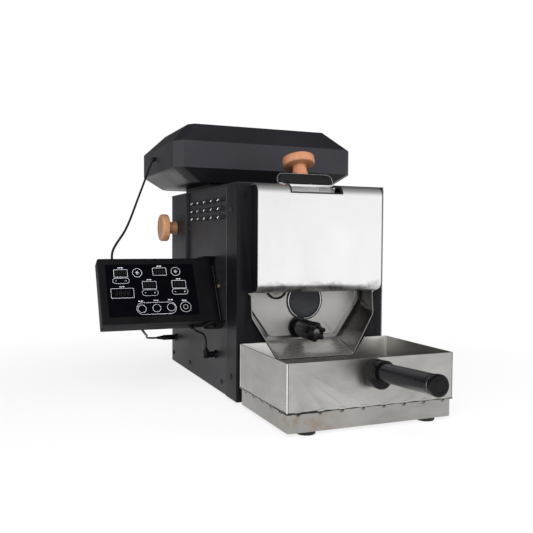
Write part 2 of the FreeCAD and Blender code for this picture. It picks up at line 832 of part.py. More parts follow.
def drum_door():
    back = pocket_back - door_seat
    points = [Vector(p.x, back - door_sheet, p.z) for p in door_outline(0, door_top)]
    plate = prism(points, Vector(0, door_sheet, 0))
    plate = round_edges(plate, door_corner, lambda p, e: along(e, Y) and p.z < door_shoulder_z - 5)
    hinge_y = door_hinge_y()
    outer = door_hinge_pin + door_hinge_wall
    knuckles = []
    for x in (-60, 30):
        knuckles.append(rod(x, hinge_y, door_hinge_z, X, outer, 30))
        knuckles.append(block(x, x + 30, back - door_sheet, back, door_top, door_hinge_z))
    bores = [rod(x - 1, hinge_y, door_hinge_z, X, door_hinge_pin + running_gap, 32) for x in (-60, 30)]
    sight = rod(glass_x, 0, glass_z, Y, glass_radius, 60)
    port = rod(port_x, 0, port_z, Y, port_radius - port_wall, 60)
    spindle = rod(latch_x, 0, latch_z, Y, spindle_radius + running_gap, 60)
    return cut(fuse([plate] + knuckles), bores + [sight, port, spindle])


def door_hinge_y():
    """The hinge stands forward of the door, so that its knuckles clear the drum's face plate."""
    return face_front - 0.4 - door_hinge_pin - door_hinge_wall


def door_front():
    return pocket_back - door_seat - door_sheet


def door_hinge():
    """An ear at each end of both door knuckles, and the pin through them all."""
    outer = door_hinge_pin + door_hinge_wall
    shapes = [rod(-64, door_hinge_y(), door_hinge_z, X, door_hinge_pin, 128)]
    for x in (-64, -29.6, 26.0, 60.3):
        shapes.append(rod(x, door_hinge_y(), door_hinge_z, X, outer, 3.7))
        shapes.append(block(x, x + 3.7, door_hinge_y(), face_front, door_hinge_z - outer, door_hinge_z + outer))
    return shapes


def sight_ring():
    front = door_front()
    ring = tube(glass_x, front - ring_rise, glass_z, Y, ring_radius, glass_radius, ring_rise)
    return round_edges(ring, 0.9, lambda p, e: p.y < front - ring_rise + 0.01)


def sight_glass():
    front = door_front()
    return rod(glass_x, front - 0.6, glass_z, Y, glass_radius, door_sheet + 0.6)


def probe_port():
    """A short sleeve for a bean thermometer, closed by a plug."""
    front = door_front()
    ring = rod(port_x, front - 1.8, port_z, Y, port_radius, 1.8)
    ring = round_edges(ring, 0.7, lambda p, e: p.y < front - 1.79)
    plug = rod(port_x, front - 3.4, port_z, Y, port_radius - port_wall - 1.5, 1.7)
    neck = rod(port_x, front, port_z, Y, port_radius - port_wall - 0.1, door_sheet)
    return fuse([ring, plug, neck])


def latch_spindle():
    """The latch's spindle with its bright end, and the tongue that hooks behind the flange after a quarter turn."""
    cap = rod(latch_x, star_end + 0.4, latch_z, Y, 4.2, 1.6)
    tongue_end = face_front + running_gap + tongue_sheet
    spindle = rod(latch_x, star_end + 2, latch_z, Y, spindle_radius, tongue_end - star_end - 2)
    tongue = block(latch_x - 4, latch_x + tongue_reach, tongue_end - tongue_sheet, tongue_end, latch_z - 4,
                   latch_z + 4)
    return fuse([cap, spindle, tongue])


def star_knob():
    """A collar, a flange, a hub and a long moulded body that ends in a ring of lobes."""
    flange_back = door_front() - ring_rise - 0.4
    flange_front = flange_back - latch_flange
    collar = rod(latch_x, flange_back, latch_z, Y, latch_collar_radius, door_front() - running_gap - flange_back)
    flange = rod(latch_x, flange_front, latch_z, Y, latch_flange_radius, latch_flange)
    hub = rod(latch_x, latch_hub_end, latch_z, Y, latch_hub_radius, flange_front - latch_hub_end)
    body = rod(latch_x, star_body_end, latch_z, Y, star_body_radius, latch_hub_end - star_body_end)
    lobe_length = star_body_end - star_end
    star = rod(latch_x, star_end, latch_z, Y, star_radius - 2.8, lobe_length)
    lobes = []
    grooves = []
    for i in range(star_lobes):
        angle = 2 * math.pi * (i + 0.25) / star_lobes
        ring = star_radius - 2.6
        lobes.append(rod(latch_x + ring * math.cos(angle), star_end, latch_z + ring * math.sin(angle), Y, 2.6,
                         lobe_length + 1.5))
        groove = angle + math.pi / star_lobes
        out = star_body_radius + 1.9
        grooves.append(rod(latch_x + out * math.cos(groove), star_body_end - 1, latch_z + out * math.sin(groove), Y,
                           3.0, latch_hub_end - star_body_end + 2))
    whole = fuse([collar, flange, hub, cut(body, grooves), star] + lobes)
    bore = rod(latch_x, star_end + 2, latch_z, Y, spindle_radius, 60)
    recess = rod(latch_x, star_end - 1, latch_z, Y, 4.2, 3)
    return cut(whole, [bore, recess])


# ---------------------------------------------------------------- drum
def drum_face():
    """The fixed plate in front of the drum, with the discharge and feed openings and the door's hinge."""
    plate = block(drum_x - plate_half, drum_x + plate_half, face_front, housing_front, plate_low, plate_high)
    round_opening = rod(drum_x, face_front - 1, drum_z, Y, drum_radius - 6, face_plate + 2)
    below = block(-half, half, face_front - 2, housing_front + 2, plate_low, sight_top)
    discharge = round_opening.common(below)
    feed = block(throat_left + hopper_sheet, throat_right - hopper_sheet, face_front - 1, housing_front + 1,
                 throat_bottom + hopper_sheet, throat_top - hopper_sheet)
    notch = block(latch_x - tongue_notch, latch_x + tongue_notch, face_front - 1, housing_front + 1,
                  latch_z - tongue_notch, latch_z + tongue_notch)
    return fuse([cut(plate, [discharge, feed, notch])] + door_hinge())


def roasting_drum():
    shell = tube(drum_x, drum_front, drum_z, Y, drum_radius, drum_radius - drum_wall, drum_length)
    back = rod(drum_x, drum_back - 2, drum_z, Y, drum_radius, 2)
    lip = tube(drum_x, drum_front, drum_z, Y, drum_radius, drum_radius - 5, 1.5)
    shapes = [shell, back, lip]
    for i in range(vane_count):
        vane = block(-1, 1, drum_front + 2, drum_back - 1, drum_radius - drum_wall - vane_height,
                     drum_radius - drum_wall / 2)
        vane.rotate(Vector(0, 0, 0), Y, 360.0 / vane_count * i)
        vane.translate(Vector(drum_x, 0, drum_z))
        shapes.append(vane)
    return fuse(shapes + drum_shaft())


def drum_shaft():
    """The stub shaft and its hub, welded to the drum's back plate."""
    length = 2 + housing_back - drum_back + bearing_plate + bearing_length + 6
    return [rod(drum_x, drum_back - 2, drum_z, Y, shaft_radius, length),
            rod(drum_x, drum_back, drum_z, Y, shaft_radius + 6, 4)]


def drum_housing():
    return tube(drum_x, housing_front, drum_z, Y, housing_radius, housing_radius - housing_wall,
                housing_back - housing_front).cut(duct_window())


def duct_window():
    """Where hot air leaves the housing at the back of its top."""
    return block(drum_x - 25, drum_x + 25, housing_back - 24, housing_back + 1, drum_z + 55, drum_z + 90)


def insulation_jacket():
    return tube(drum_x, housing_front, drum_z, Y, housing_radius + jacket_wall, housing_radius,
                housing_back - housing_front).cut(duct_window())


def bearing_bracket():
    plate = block(drum_x - plate_half, drum_x + plate_half, housing_back, housing_back + bearing_plate, plate_low,
                  plate_high)
    boss = rod(drum_x, housing_back + bearing_plate, drum_z, Y, bearing_radius, bearing_length)
    bore = rod(drum_x, housing_back - 1, drum_z, Y, shaft_radius + running_gap, bearing_length + bearing_plate + 2)
    window = block(drum_x - 25, drum_x + 25, housing_back - 1, housing_back + bearing_plate + 1, duct_bottom + 2,
                   duct_elbow_top - 2)
    return cut(fuse([plate, boss]), [bore, window])


def heater_tubes():
    """Three sheathed heating rods between the drum and its housing, held in the face plate."""
    rods = []
    for angle in heater_angles:
        x = drum_x + heater_circle * math.cos(math.radians(angle))
        z = drum_z + heater_circle * math.sin(math.radians(angle))
        rods.append(rod(x, housing_front, z, Y, heater_radius, housing_back - housing_front))
    return group(rods)


def drum_motor():
    """The gearmotor behind the drum, on two posts, with its coupling cup round the end of the shaft."""
    start = housing_back + bearing_plate + bearing_length + 3
    body = rod(drum_x, start + 8, drum_z, Y, motor_radius, motor_length)
    gearbox = block(drum_x - 26, drum_x + 26, start + 2, start + 14, drum_z - 30, drum_z + 26)
    posts = []
    for x in (-24, 24):
        for z in (-27, 23):
            posts.append(rod(drum_x + x * 0.85, housing_back + bearing_plate, drum_z + z, Y, 3, start + 2
                             - housing_back - bearing_plate))
    room = rod(drum_x, start + 1, drum_z, Y, shaft_radius + 0.4, 6)
    return cut(fuse([body, gearbox] + posts), [room])


# ---------------------------------------------------------------- exhaust
def exhaust_duct():
    """The elbow behind the drum and the upright leg that holds the damper."""
    def hollow(inset, stretch):
        upright = block(-duct_half + inset, duct_half - inset, duct_front + inset, duct_back - inset,
                        duct_bottom + inset, plate_top + stretch)
        elbow = block(drum_x - 30 + inset, drum_x + 30 - inset, housing_back + bearing_plate - stretch,
                      duct_front + 5, duct_bottom + inset, duct_elbow_top - inset)
        return fuse([upright, elbow])
    body = hollow(0, 0).cut(hollow(sheet, 1))
    bores = [rod(-duct_half - 5, damper_y, damper_z, X, damper_shaft + running_gap, 2 * duct_half + 10)]
    return cut(body, bores)


def damper_flap():
    """The damper's shaft, which runs out through the side, and the flap on it."""
    start = knob_x - 8
    shaft = rod(start, damper_y, damper_z, X, damper_shaft, duct_half + sheet + 2 - start)
    reach = (duct_back - duct_front) / 2 - sheet - damper_gap
    flap = block(-duct_half + sheet + damper_gap, duct_half - sheet - damper_gap, damper_y - 1, damper_y + 1,
                 damper_z - reach, damper_z + reach)
    return fuse([shaft, flap])


def damper_knob():
    knob = turned_knob(damper_shank)
    knob.rotate(Vector(0, 0, 0), Y, -90)
    knob.translate(Vector(knob_x - 0.4, damper_y, damper_z))
    return knob.cut(rod(knob_x - 8, damper_y, damper_z, X, damper_shaft, 20))


def exhaust_neck():
    outer = block(-neck_half, neck_half, neck_front, neck_back, cabinet_top, hood_bottom)
    wall = 2 * sheet
    inner = block(-neck_half + wall, neck_half - wall, neck_front + wall, neck_back - wall, 0, hood_bottom + 1)
    return outer.cut(inner)


def hood_ring(half_x, front, back, chamfer_x, chamfer_y, z):
    """One level of the hood: a rectangle with its four corners cut off."""
    return [Vector(half_x - chamfer_x, front, z), Vector(half_x, front + chamfer_y, z),
            Vector(half_x, back - chamfer_y, z), Vector(half_x - chamfer_x, back, z),
            Vector(-half_x + chamfer_x, back, z), Vector(-half_x, back - chamfer_y, z),
            Vector(-half_x, front + chamfer_y, z), Vector(-half_x + chamfer_x, front, z)]


def band_ring(z, inset=0.0):
    return hood_ring(hood_half - inset, hood_front + inset, hood_back - inset, hood_chamfer_x, hood_chamfer_y, z)


def hood_tray():
    """The hood's lower half: the band and the slopes that run in underneath it."""
    def form(inset, stretch):
        low = hood_ring(hood_half - hood_bottom_inset_x - inset, hood_front + hood_bottom_inset_y + inset,
                        hood_back - hood_bottom_inset_y - inset, hood_chamfer_x, hood_chamfer_y,
                        hood_bottom + inset)
        slope = loft(low, band_ring(hood_band_low, inset))
        band = loft(band_ring(hood_band_low, inset), band_ring(hood_band_high + stretch, inset))
        return fuse([slope, band])
    shell = form(0, 0).cut(form(sheet, 1))
    wall = 2 * sheet
    mouth = block(-neck_half + wall, neck_half - wall, neck_front + wall, neck_back - wall, 0, hood_bottom + 9)
    outlets = [block(-96 + 16 * i, -88 + 16 * i, hood_back - 5, hood_back + 5, hood_band_low + 5,
                     hood_band_high - 5.5) for i in range(13)]
    return cut(shell, [mouth] + outlets)


def hood_lid():
    """The hood's upper half: four slopes and a flat top."""
    def form(inset, stretch):
        low = band_ring(hood_band_high, inset)
        top = hood_ring(hood_half - hood_top_inset_x - inset, hood_front + hood_top_inset_y + inset,
                        hood_back - hood_top_inset_y - inset,
                        hood_top_chamfer * hood_chamfer_x / hood_chamfer_y, hood_top_chamfer, hood_top - inset)
        parts = [loft(low, top)]
        if stretch:
            parts.append(loft(band_ring(hood_band_high - 1, inset), low))
        return fuse(parts)
    return form(0, 0).cut(form(sheet, 1))


def smoke_filter():
    """A pleated filter frame inside the hood, over the neck."""
    frame = block(-neck_half - 8, neck_half + 8, neck_front - 6, neck_back + 6, hood_bottom + sheet, fan_low - 2)
    opening = block(-neck_half + 4, neck_half - 4, neck_front + 6, neck_back - 6, hood_bottom - 9, fan_low + 5)
    pleats = [block(-neck_half + 4, neck_half - 4, neck_front + 12 + 12 * i, neck_front + 13.5 + 12 * i,
                    hood_bottom + sheet + 2, fan_low - 4) for i in range(9)]
    return fuse([frame.cut(opening)] + pleats)


def exhaust_fan_frame():
    """The axial fan's square frame above the filter, with its motor on three spokes."""
    low = fan_low
    side = fan_radius + 4
    frame = block(-side, side, fan_y - side, fan_y + side, low, low + fan_height)
    frame = frame.cut(rod(0, fan_y, low - 1, Z, fan_radius + 1, fan_height + 2))
    spokes = [rod(0, fan_y, low, Z, fan_hub_radius, 3)]
    for i in range(3):
        spoke = block(0, fan_radius + 2, -2, 2, low, low + 3)
        spoke.rotate(Vector(0, 0, 0), Z, 120 * i + 30)
        spoke.translate(Vector(0, fan_y, 0))
        spokes.append(spoke)
    pin = rod(0, fan_y, low, Z, pin_radius, fan_height - 2)
    plate = block(-neck_half - 8, neck_half + 8, neck_front - 6, neck_back + 6, low - 2, low)
    plate = plate.cut(rod(0, fan_y, low - 5, Z, fan_radius + 1, fan_height))
    return fuse([frame, plate] + spokes + [pin])


def impeller(x, y, low, outer, hub, height, blades, bore):
    """A hub with sloping blades round it."""
    body = rod(x, y, low, Z, hub, height)
    parts = [body]
    for i in range(blades):
        blade = block(hub - 2, outer, -1, 1, low + 2, low + height - 2)
        blade.rotate(Vector(0, 0, low + height / 2), X, 35)
        blade.rotate(Vector(0, 0, 0), Z, 360.0 / blades * i)
        blade.translate(Vector(x, y, 0))
        parts.append(blade)
    whole = fuse(parts).common(rod(x, y, low, Z, outer, height))
    return whole.cut(rod(x, y, low - 1, Z, bore, height + 2))


def exhaust_fan():
    return impeller(0, fan_y, fan_low + 3.6, fan_radius - 1, fan_hub_radius - 1, fan_height - 5,
                    fan_blades, pin_radius + running_gap)


# ---------------------------------------------------------------- cooling air
def air_duct(grow, front, back):
    """The low duct under the drum: its hollow, or its outside when grow is the wall."""
    return block(drum_x - slot_half - grow, drum_x + slot_half + grow, front, back, slot_low - grow,
                 slot_high + grow)


def blower_case():
    """The round case of the cooling blower, with the duct that reaches forward to the tray."""
    low = plate_bottom + sheet
    duct_end = tray_back - tray_base_inset + 0.3
    case = rod(drum_x, blower_y, low, Z, blower_radius, blower_height)
    duct = air_duct(duct_wall, duct_end, blower_y - 10)
    room = rod(drum_x, blower_y, low + 2, Z, blower_radius - 2, blower_height - 4)
    bore = air_duct(0, duct_end - 1, blower_y - 10)
    outlet = block(drum_x - 32, drum_x + 36, blower_y - 26, blower_y + 26, low - 1, low + 3)
    outlet = outlet.common(rod(drum_x, blower_y, low - 2, Z, blower_radius - 6, blower_height))
    post = rod(drum_x, blower_y, low, Z, pin_radius, blower_height - 8)
    bridge = block(drum_x - blower_radius + 1, drum_x + blower_radius - 1, blower_y - 5, blower_y + 5, low, low + 2)
    return fuse([cut(fuse([case, duct]), [room, bore, outlet]), post, bridge])


def blower_wheel():
    return impeller(drum_x, blower_y, plate_bottom + sheet + 5, blower_radius - 8, 12, blower_height - 12, 8,
                    pin_radius + running_gap)


# ---------------------------------------------------------------- electrics
def power_board():
    back = cabinet_depth - 11
    low = 14.0
    top = low + board_sheet
    board = block(-88, -20, back - 74, back, low, top)
    posts = [rod(x, y, plate_bottom + sheet, Z, 3, low - plate_bottom - sheet) for x in (-84, -24)
             for y in (back - 70, back - 4)]
    parts = [block(-80, -62, back - 64, back - 34, top, top + 24), block(-54, -42, back - 64, back - 52, top, top + 14),
             block(-54, -30, back - 34, back - 10, top, top + 8), rod(-34, back - 56, top, Z, 6, 22),
             block(-80, -60, back - 22, back - 6, top, top + 12)]
    return fuse([board] + posts + parts)


def mains_inlet():
    """An appliance inlet in the back panel: flange, recess and three pins."""
    y = cabinet_depth
    body = block(inlet_x - inlet_width / 2, inlet_x + inlet_width / 2, y - 20, y,
                 inlet_z - inlet_height / 2, inlet_z + inlet_height / 2)
    flange = block(inlet_x - 25, inlet_x + 25, y, y + 2, inlet_z - 14, inlet_z + 14)
    flange = round_edges(flange, 4, lambda p, e: along(e, Y))
    recess = block(inlet_x - 12, inlet_x + 12, y - 16, y + 3, inlet_z - 8, inlet_z + 8)
    pins = [block(inlet_x + dx - 1, inlet_x + dx + 1, y - 20, y - 4, inlet_z + dz - 2, inlet_z + dz + 2)
            for dx, dz in ((-7, -2), (0, 2), (7, -2))]
    holes = [rod(inlet_x + dx, y - 1, inlet_z, Y, 1.7, 5) for dx in (-20, 20)]
    return fuse([cut(fuse([body, flange]), [recess] + holes)] + pins)


# ---------------------------------------------------------------- control panel
def panel_place(shape):
    """Moves a piece from the panel's own place, upright with its swivel axis on Z, to where it stands."""
    shape.rotate(Vector(0, 0, 0), X, -panel_tilt_deg)
    shape.translate(Vector(pivot_x, pivot_y, pivot_z))
    return shape


def panel_case():
    deep = panel_depth / 2
    box = block(-panel_length, 0, -deep, deep, 0, panel_height)
    end = rod(0, 0, 0, Z, deep, panel_height)
    body = fuse([box, end])
    body = round_edges(body, panel_corner, lambda p, e: p.x < -panel_length + 0.1 and along(e, Z))
    window = panel_window(0, 3.0)
    bores = [rod(0, 0, -1, Z, pivot_radius + running_gap, 16),
             rod(0, 0, panel_height - 15, Z, pivot_radius + running_gap, 16)]
    room = block(-panel_length + 5, -14, -deep + 2.9, deep - 3, 4, panel_height - 4)
    case = panel_place(cut(body, [window, room] + bores))
    return fuse([case] + [relief(*place) for place in panel_cable_places()])


def panel_window(shrink, depth):
    deep = panel_depth / 2
    pane = block(-panel_length + glass_margin_left + shrink, -glass_margin_right - shrink, -deep, -deep + depth,
                 glass_margin_bottom + shrink, panel_height - glass_margin_top - shrink)
    return round_edges(pane, 2.0, lambda p, e: along(e, Y))


def panel_glass():
    pane = panel_window(0.15, glass_depth)
    pane.translate(Vector(0, 0.5, 0))
    return panel_place(pane)


def panel_bracket():
    """The swivel bracket: a web on the cabinet's side and an ear above and below the panel."""
    web_outer = -panel_gap
    web = block(web_outer - web_sheet, web_outer, web_front, ear_radius, -ear_clearance - ear_sheet,
                panel_height + ear_clearance + ear_sheet)
    shapes = [web]
    for low in (-ear_clearance - ear_sheet, panel_height + ear_clearance):
        plate = block(0, web_outer, -ear_radius, ear_radius, low, low + ear_sheet)
        end = rod(0, 0, low, Z, ear_radius, ear_sheet)
        shapes.append(fuse([plate, end]).cut(rod(0, 0, low - 1, Z, pivot_radius, ear_sheet + 2)))
    return panel_place(fuse(shapes))


def pivot_screws():
    """The two screws that the panel turns on."""
    reach = 12.0
    low = -ear_clearance - ear_sheet
    high = panel_height + ear_clearance + ear_sheet
    bottom = fuse([rod(0, 0, low, Z, pivot_radius, reach), rod(0, 0, low - 2, Z, pivot_head, 2)])
    top = fuse([rod(0, 0, high - reach, Z, pivot_radius, reach), rod(0, 0, high, Z, pivot_head, 2)])
    slot = block(-pivot_head, pivot_head, -0.5, 0.5, low - 3, low - 1.2)
    slot_top = block(-pivot_head, pivot_head, -0.5, 0.5, high + 1.2, high + 3)
    return panel_place(group([bottom.cut(slot), top.cut(slot_top)]))


# ---------------------------------------------------------------- sockets, plugs and cables


def panel_point(p):
    """A point of the panel's own place, where the panel stands."""
    tilt = math.radians(panel_tilt_deg)
    return Vector(pivot_x + p.x, pivot_y + p.y * math.cos(tilt) + p.z * math.sin(tilt),
                  pivot_z - p.y * math.sin(tilt) + p.z * math.cos(tilt))


def panel_up():
    tilt = math.radians(panel_tilt_deg)
    return Vector(0, math.sin(tilt), math.cos(tilt))


def panel_out():
    """Straight out of the panel's back."""
    tilt = math.radians(panel_tilt_deg)
    return Vector(0, math.cos(tilt), -math.sin(tilt))


def panel_cable_places():
    """Where each cable's strain relief stands on the panel and which way it points: hood, rear and side cable."""
    top = panel_point(Vector(hood_cable_x, 3, panel_height))
    back = panel_point(Vector(rear_cable_x, panel_depth / 2, 8))
    under = panel_point(Vector(side_cable_x, 3, 0))
    slant = Vector(0.66, 0.30, -0.69)
    slant.normalize()
    return [(top, panel_up()), (back, panel_out()), (under, slant)]


def relief(place, way):
    """A short moulded stub that a cable leaves the panel through."""
    return Part.makeCylinder(relief_radius, relief_length + 2, place.sub(way * 2), way)


def relief_end(index):
    place, way = panel_cable_places()[index]
    return place.add(way * relief_length), way


def signal_jacks():
    """The two round sockets on the cabinet's left side and the elbow gland on the hood."""
    jacks = []
    for place in (side_jack, rear_jack):
        jacks.append(tube(-side_outer - jack_height, place.y, place.z, X, jack_radius, plug_radius - 1.5,
                          jack_height))
    corner = Vector(-hood_half - gland_length, gland_y, gland_z)
    elbow = fuse([rod(corner.x, corner.y, corner.z, X, gland_radius, gland_length),
                  Part.makeSphere(gland_radius, corner),
                  Part.makeCylinder(gland_radius, gland_drop, corner, gland_way)])
    return group(jacks + [elbow])


def gland_end():
    return Vector(-hood_half - gland_length, gland_y, gland_z).add(gland_way * gland_drop)


def side_plug_top():
    return Vector(side_plug_x, side_jack.y, side_jack.z + elbow_height)


def rear_plug_end():
    return Vector(-side_outer - jack_height - plug_length - plug_tail, rear_jack.y, rear_jack.z)


def cable_plugs():
    """The elbow plug in the side jack and the straight plug in the rear jack."""
    x = -side_outer - jack_height
    elbow = fuse([rod(side_plug_x, side_jack.y, side_jack.z, X, plug_radius, x - side_plug_x),
                  rod(side_plug_x, side_jack.y, side_jack.z - plug_radius, Z, plug_radius,
                      elbow_height - 3 + plug_radius),
                  rod(side_plug_x, side_jack.y, side_jack.z, Z, plug_radius - 1.4, elbow_height),
                  rod(x, side_jack.y, side_jack.z, X, plug_radius - 1.5, 2.5)])
    body = rod(x - plug_length, rear_jack.y, rear_jack.z, X, plug_radius, plug_length)
    tail = Part.makeCone(plug_radius - 0.5, cable_radius + 0.4, plug_tail,
                         Vector(x - plug_length, rear_jack.y, rear_jack.z), Vector(-1, 0, 0))
    tip = rod(x, rear_jack.y, rear_jack.z, X, plug_radius - 1.5, 2.5)
    return group([elbow, fuse([body, tail, tip])])


def cord_tube(name, points, radius):
    """A cord of straight runs joined by tangent arcs, each as large as its two runs allow."""
    edges = []
    radii = []
    start = points[0]
    for before, corner, after in zip(points, points[1:], points[2:]):
        back = before.sub(corner)
        ahead = after.sub(corner)
        turn = math.pi - back.getAngle(ahead)
        shorter = min(back.Length, ahead.Length)
        setback = 0.45 * shorter
        bend = setback / math.tan(turn / 2)
        radii.append(round(bend, 1))
        back.normalize()
        ahead.normalize()
        first = corner.add(back * setback)
        last = corner.add(ahead * setback)
        middle = back.add(ahead)
        middle.normalize()
        inward = bend / math.cos(turn / 2) - bend
        edges.append(Part.LineSegment(start, first).toShape())
        edges.append(Part.Arc(first, corner.add(middle * inward), last).toShape())
        start = last
    edges.append(Part.LineSegment(start, points[-1]).toShape())
    path = Part.Wire(edges)
    section = Part.Wire(Part.makeCircle(radius, points[0], points[1].sub(points[0])))
    solid = path.makePipeShell([section], True, True)
    runs = [round(b.sub(a).Length, 1) for a, b in zip(points, points[1:])]
    expected = math.pi * radius * radius * path.Length
    print(name, "length", round(path.Length, 1), "runs", runs, "radii", radii,
          "volume share", round(solid.Volume / expected, 4))
    return solid


def hood_cable_points():
    """From the gland on the hood's left side down to the top of the panel."""
    start = gland_end()
    end, way = relief_end(0)
    return [start, start.add(gland_way * 9), Vector(-152.5, 248.2, 292.3), Vector(-164, 226.5, 272),
            Vector(-178.5, 197, 248), Vector(-193, 165.5, 224), Vector(-205, 142, 207), Vector(-215, 125.5, 196.5),
            Vector(-222, 113.5, 189.5), Vector(-227, 105.5, 182.5), end.add(way * 7.0), end]


def rear_cable_points():
    """From the straight plug in the rear jack forward to the back of the panel."""
    start = rear_plug_end()
    end, way = relief_end(1)
    return [start, start.add(Vector(-14, 0, 0)), Vector(-150, 266, 47.5), Vector(-155.5, 237, 53),
            Vector(-163.5, 200, 59.5), Vector(-173.5, 160, 66.5), Vector(-183.5, 121, 73.8), Vector(-191.5, 94, 81),
            end.add(way * 10.0), end]


def side_cable_points():
    """From the elbow plug in the side jack up to the underside of the panel."""
    start = side_plug_top()
    end, way = relief_end(2)
    return [start, start.add(Vector(0, 0, 9.5)), Vector(-116.5, 76, 74.5), Vector(-123, 69.5, 79),
            end.add(way * 7.0), end]


# ---------------------------------------------------------------- cooling tray
def tray_tub():
    """The tray's four walls, with a notch in the back wall round the pocket's lip."""
    outer = block(-tray_half, tray_half, tray_front, tray_back, tray_seam, tray_top)
    outer = round_edges(outer, 1.6, lambda p, e: along(e, Z))
    inner = block(-tray_half + tray_sheet, tray_half - tray_sheet, tray_front + tray_sheet, tray_back - tray_sheet,
                  tray_seam - 1, tray_top + 1)
    inner = round_edges(inner, 0.8, lambda p, e: along(e, Z))
    low = lip_half + pocket_sheet + notch_gap
    wide = low + (tray_top - lip_z + 2) * (mouth_half - lip_half) / (mouth_side_z - lip_z)
    base = lip_z - pocket_sheet - notch_gap
    notch = prism(mirrored([Vector(wide, tray_back - 5, tray_top + 0.01), Vector(low, tray_back - 5, base)]),
                  Vector(0, 10, 0))
    notch = round_edges(notch, notch_bend, lambda p, e: along(e, Y) and p.z < base + 1)
    tabs = []
    first = -tab_pitch * (tab_count - 1) / 2
    for i in range(tab_count):
        tabs.append(block(first + tab_pitch * i - 3.5, first + tab_pitch * i + 3.5, tray_front - 0.5, tray_front + 0.5,
                          tray_seam + 0.2, tray_seam + 2.2))
    return fuse([cut(outer, [inner, notch])] + tabs)


def tray_floor():
    """The perforated floor that the beans lie on."""
    inset = tray_sheet + 0.0
    plate = block(-tray_half + inset, tray_half - inset, tray_front + inset, tray_back - inset,
                  tray_seam, tray_seam + tray_floor_sheet)
    plate = round_edges(plate, 0.8, lambda p, e: along(e, Z))
    columns = int((2 * tray_half - 20) / hole_pitch)
    rows = int((tray_back - tray_front - 16) / hole_pitch)
    holes = []
    for i in range(columns):
        for j in range(rows):
            x = (i - (columns - 1) / 2) * hole_pitch
            y = (tray_front + tray_back) / 2 + (j - (rows - 1) / 2) * hole_pitch
            holes.append(rod(x, y, tray_seam - 1, Z, hole_radius, tray_floor_sheet + 2))
    return plate.cut(Part.makeCompound(holes))


def tray_base():
    """The shallow pan under the floor that the cooling air is drawn through."""
    def form(inset, low, high):
        shape = block(-tray_half + tray_base_inset + inset, tray_half - tray_base_inset - inset,
                      tray_front + tray_base_inset + inset, tray_back - tray_base_inset - inset, low, high)
        return round_edges(shape, tray_base_corner - inset, lambda p, e: along(e, Z))
    shell = form(0, tray_foot_height, tray_seam).cut(form(tray_sheet, tray_foot_height + tray_sheet, tray_seam + 1))
    rim_plate = block(-tray_half, tray_half, tray_front, tray_back, tray_seam - tray_sheet, tray_seam)
    rim_plate = rim_plate.cut(form(tray_sheet, tray_seam - 5, tray_seam + 5))
    port = air_duct(-1, tray_back - 20, tray_back + 5)
    return cut(fuse([shell, rim_plate]), [port])


def tray_pads():
    pads = []
    for x in (-tray_foot_x, tray_foot_x):
        for y in (tray_foot_front, tray_foot_back):
            pad = rod(x, y, 0, Z, tray_foot_radius, tray_foot_height)
            pads.append(pad.makeChamfer(1.0, [e for e in pad.Edges if e.BoundBox.ZMax < 0.01]))
    return group(pads)


def handle_place(shape):
    """Moves a piece from the handle's own place, with its axis on -Y from the origin, to the tray's front."""
    shape.rotate(Vector(0, 0, 0), X, -handle_tilt_deg)
    shape.translate(Vector(0, tray_front - mount_depth / 2, handle_z + handle_rise))
    return shape


def handle_mount():
    """The moulded block on the tray's front that the grip is bolted to."""
    body = block(-mount_width / 2, mount_width / 2, tray_front - mount_depth, tray_front, handle_z - mount_height / 2,
                 handle_z + mount_height / 2)
    body = round_edges(body, mount_corner, lambda p, e: along(e, Y))
    body = round_edges(body, 2.5, lambda p, e: p.y < tray_front - mount_depth + 0.01)
    collar = handle_place(rod(0, -mount_depth / 2 - 3.5, 0, Y, grip_radius + mount_collar, 8))
    body = fuse([body, collar.common(block(-50, 50, tray_front - 60, tray_front - 2, 0, 200))])
    bolt = handle_place(rod(0, -40, 0, Y, bolt_radius, 60))
    keep = block(-50, 50, tray_front - 60, tray_front - 4, 0, 200)
    grip_room = handle_place(rod(0, -mount_depth / 2 - 3.5 - 20, 0, Y, grip_radius + 4, 20))
    return body.cut(bolt.common(keep)).cut(grip_room)


def handle_grip():
    start = -mount_depth / 2 - 3.5
    end = start - grip_length
    grip = round_edges(rod(0, end, 0, Y, grip_radius, grip_length), 1.0, lambda p, e: p.y < end + 0.01)
    return handle_place(grip.cut(rod(0, end - 1, 0, Y, bolt_radius, grip_length + 2)))


def handle_cap():
    """The round cap on the grip's end, with the long bolt that runs through the grip into the mount."""
    start = -mount_depth / 2 - 3.5
    end = start - grip_length
    face = end - grip_cap_gap - grip_cap_length
    cap = round_edges(rod(0, face, 0, Y, grip_cap_radius, grip_cap_length), 1.8, lambda p, e: p.y < face + 0.01)
    neck = rod(0, face + grip_cap_length, 0, Y, grip_radius - 1.5, grip_cap_gap)
    shank = rod(0, end, 0, Y, bolt_radius, grip_length + 5)
    return handle_place(fuse([cap, neck, shank]))


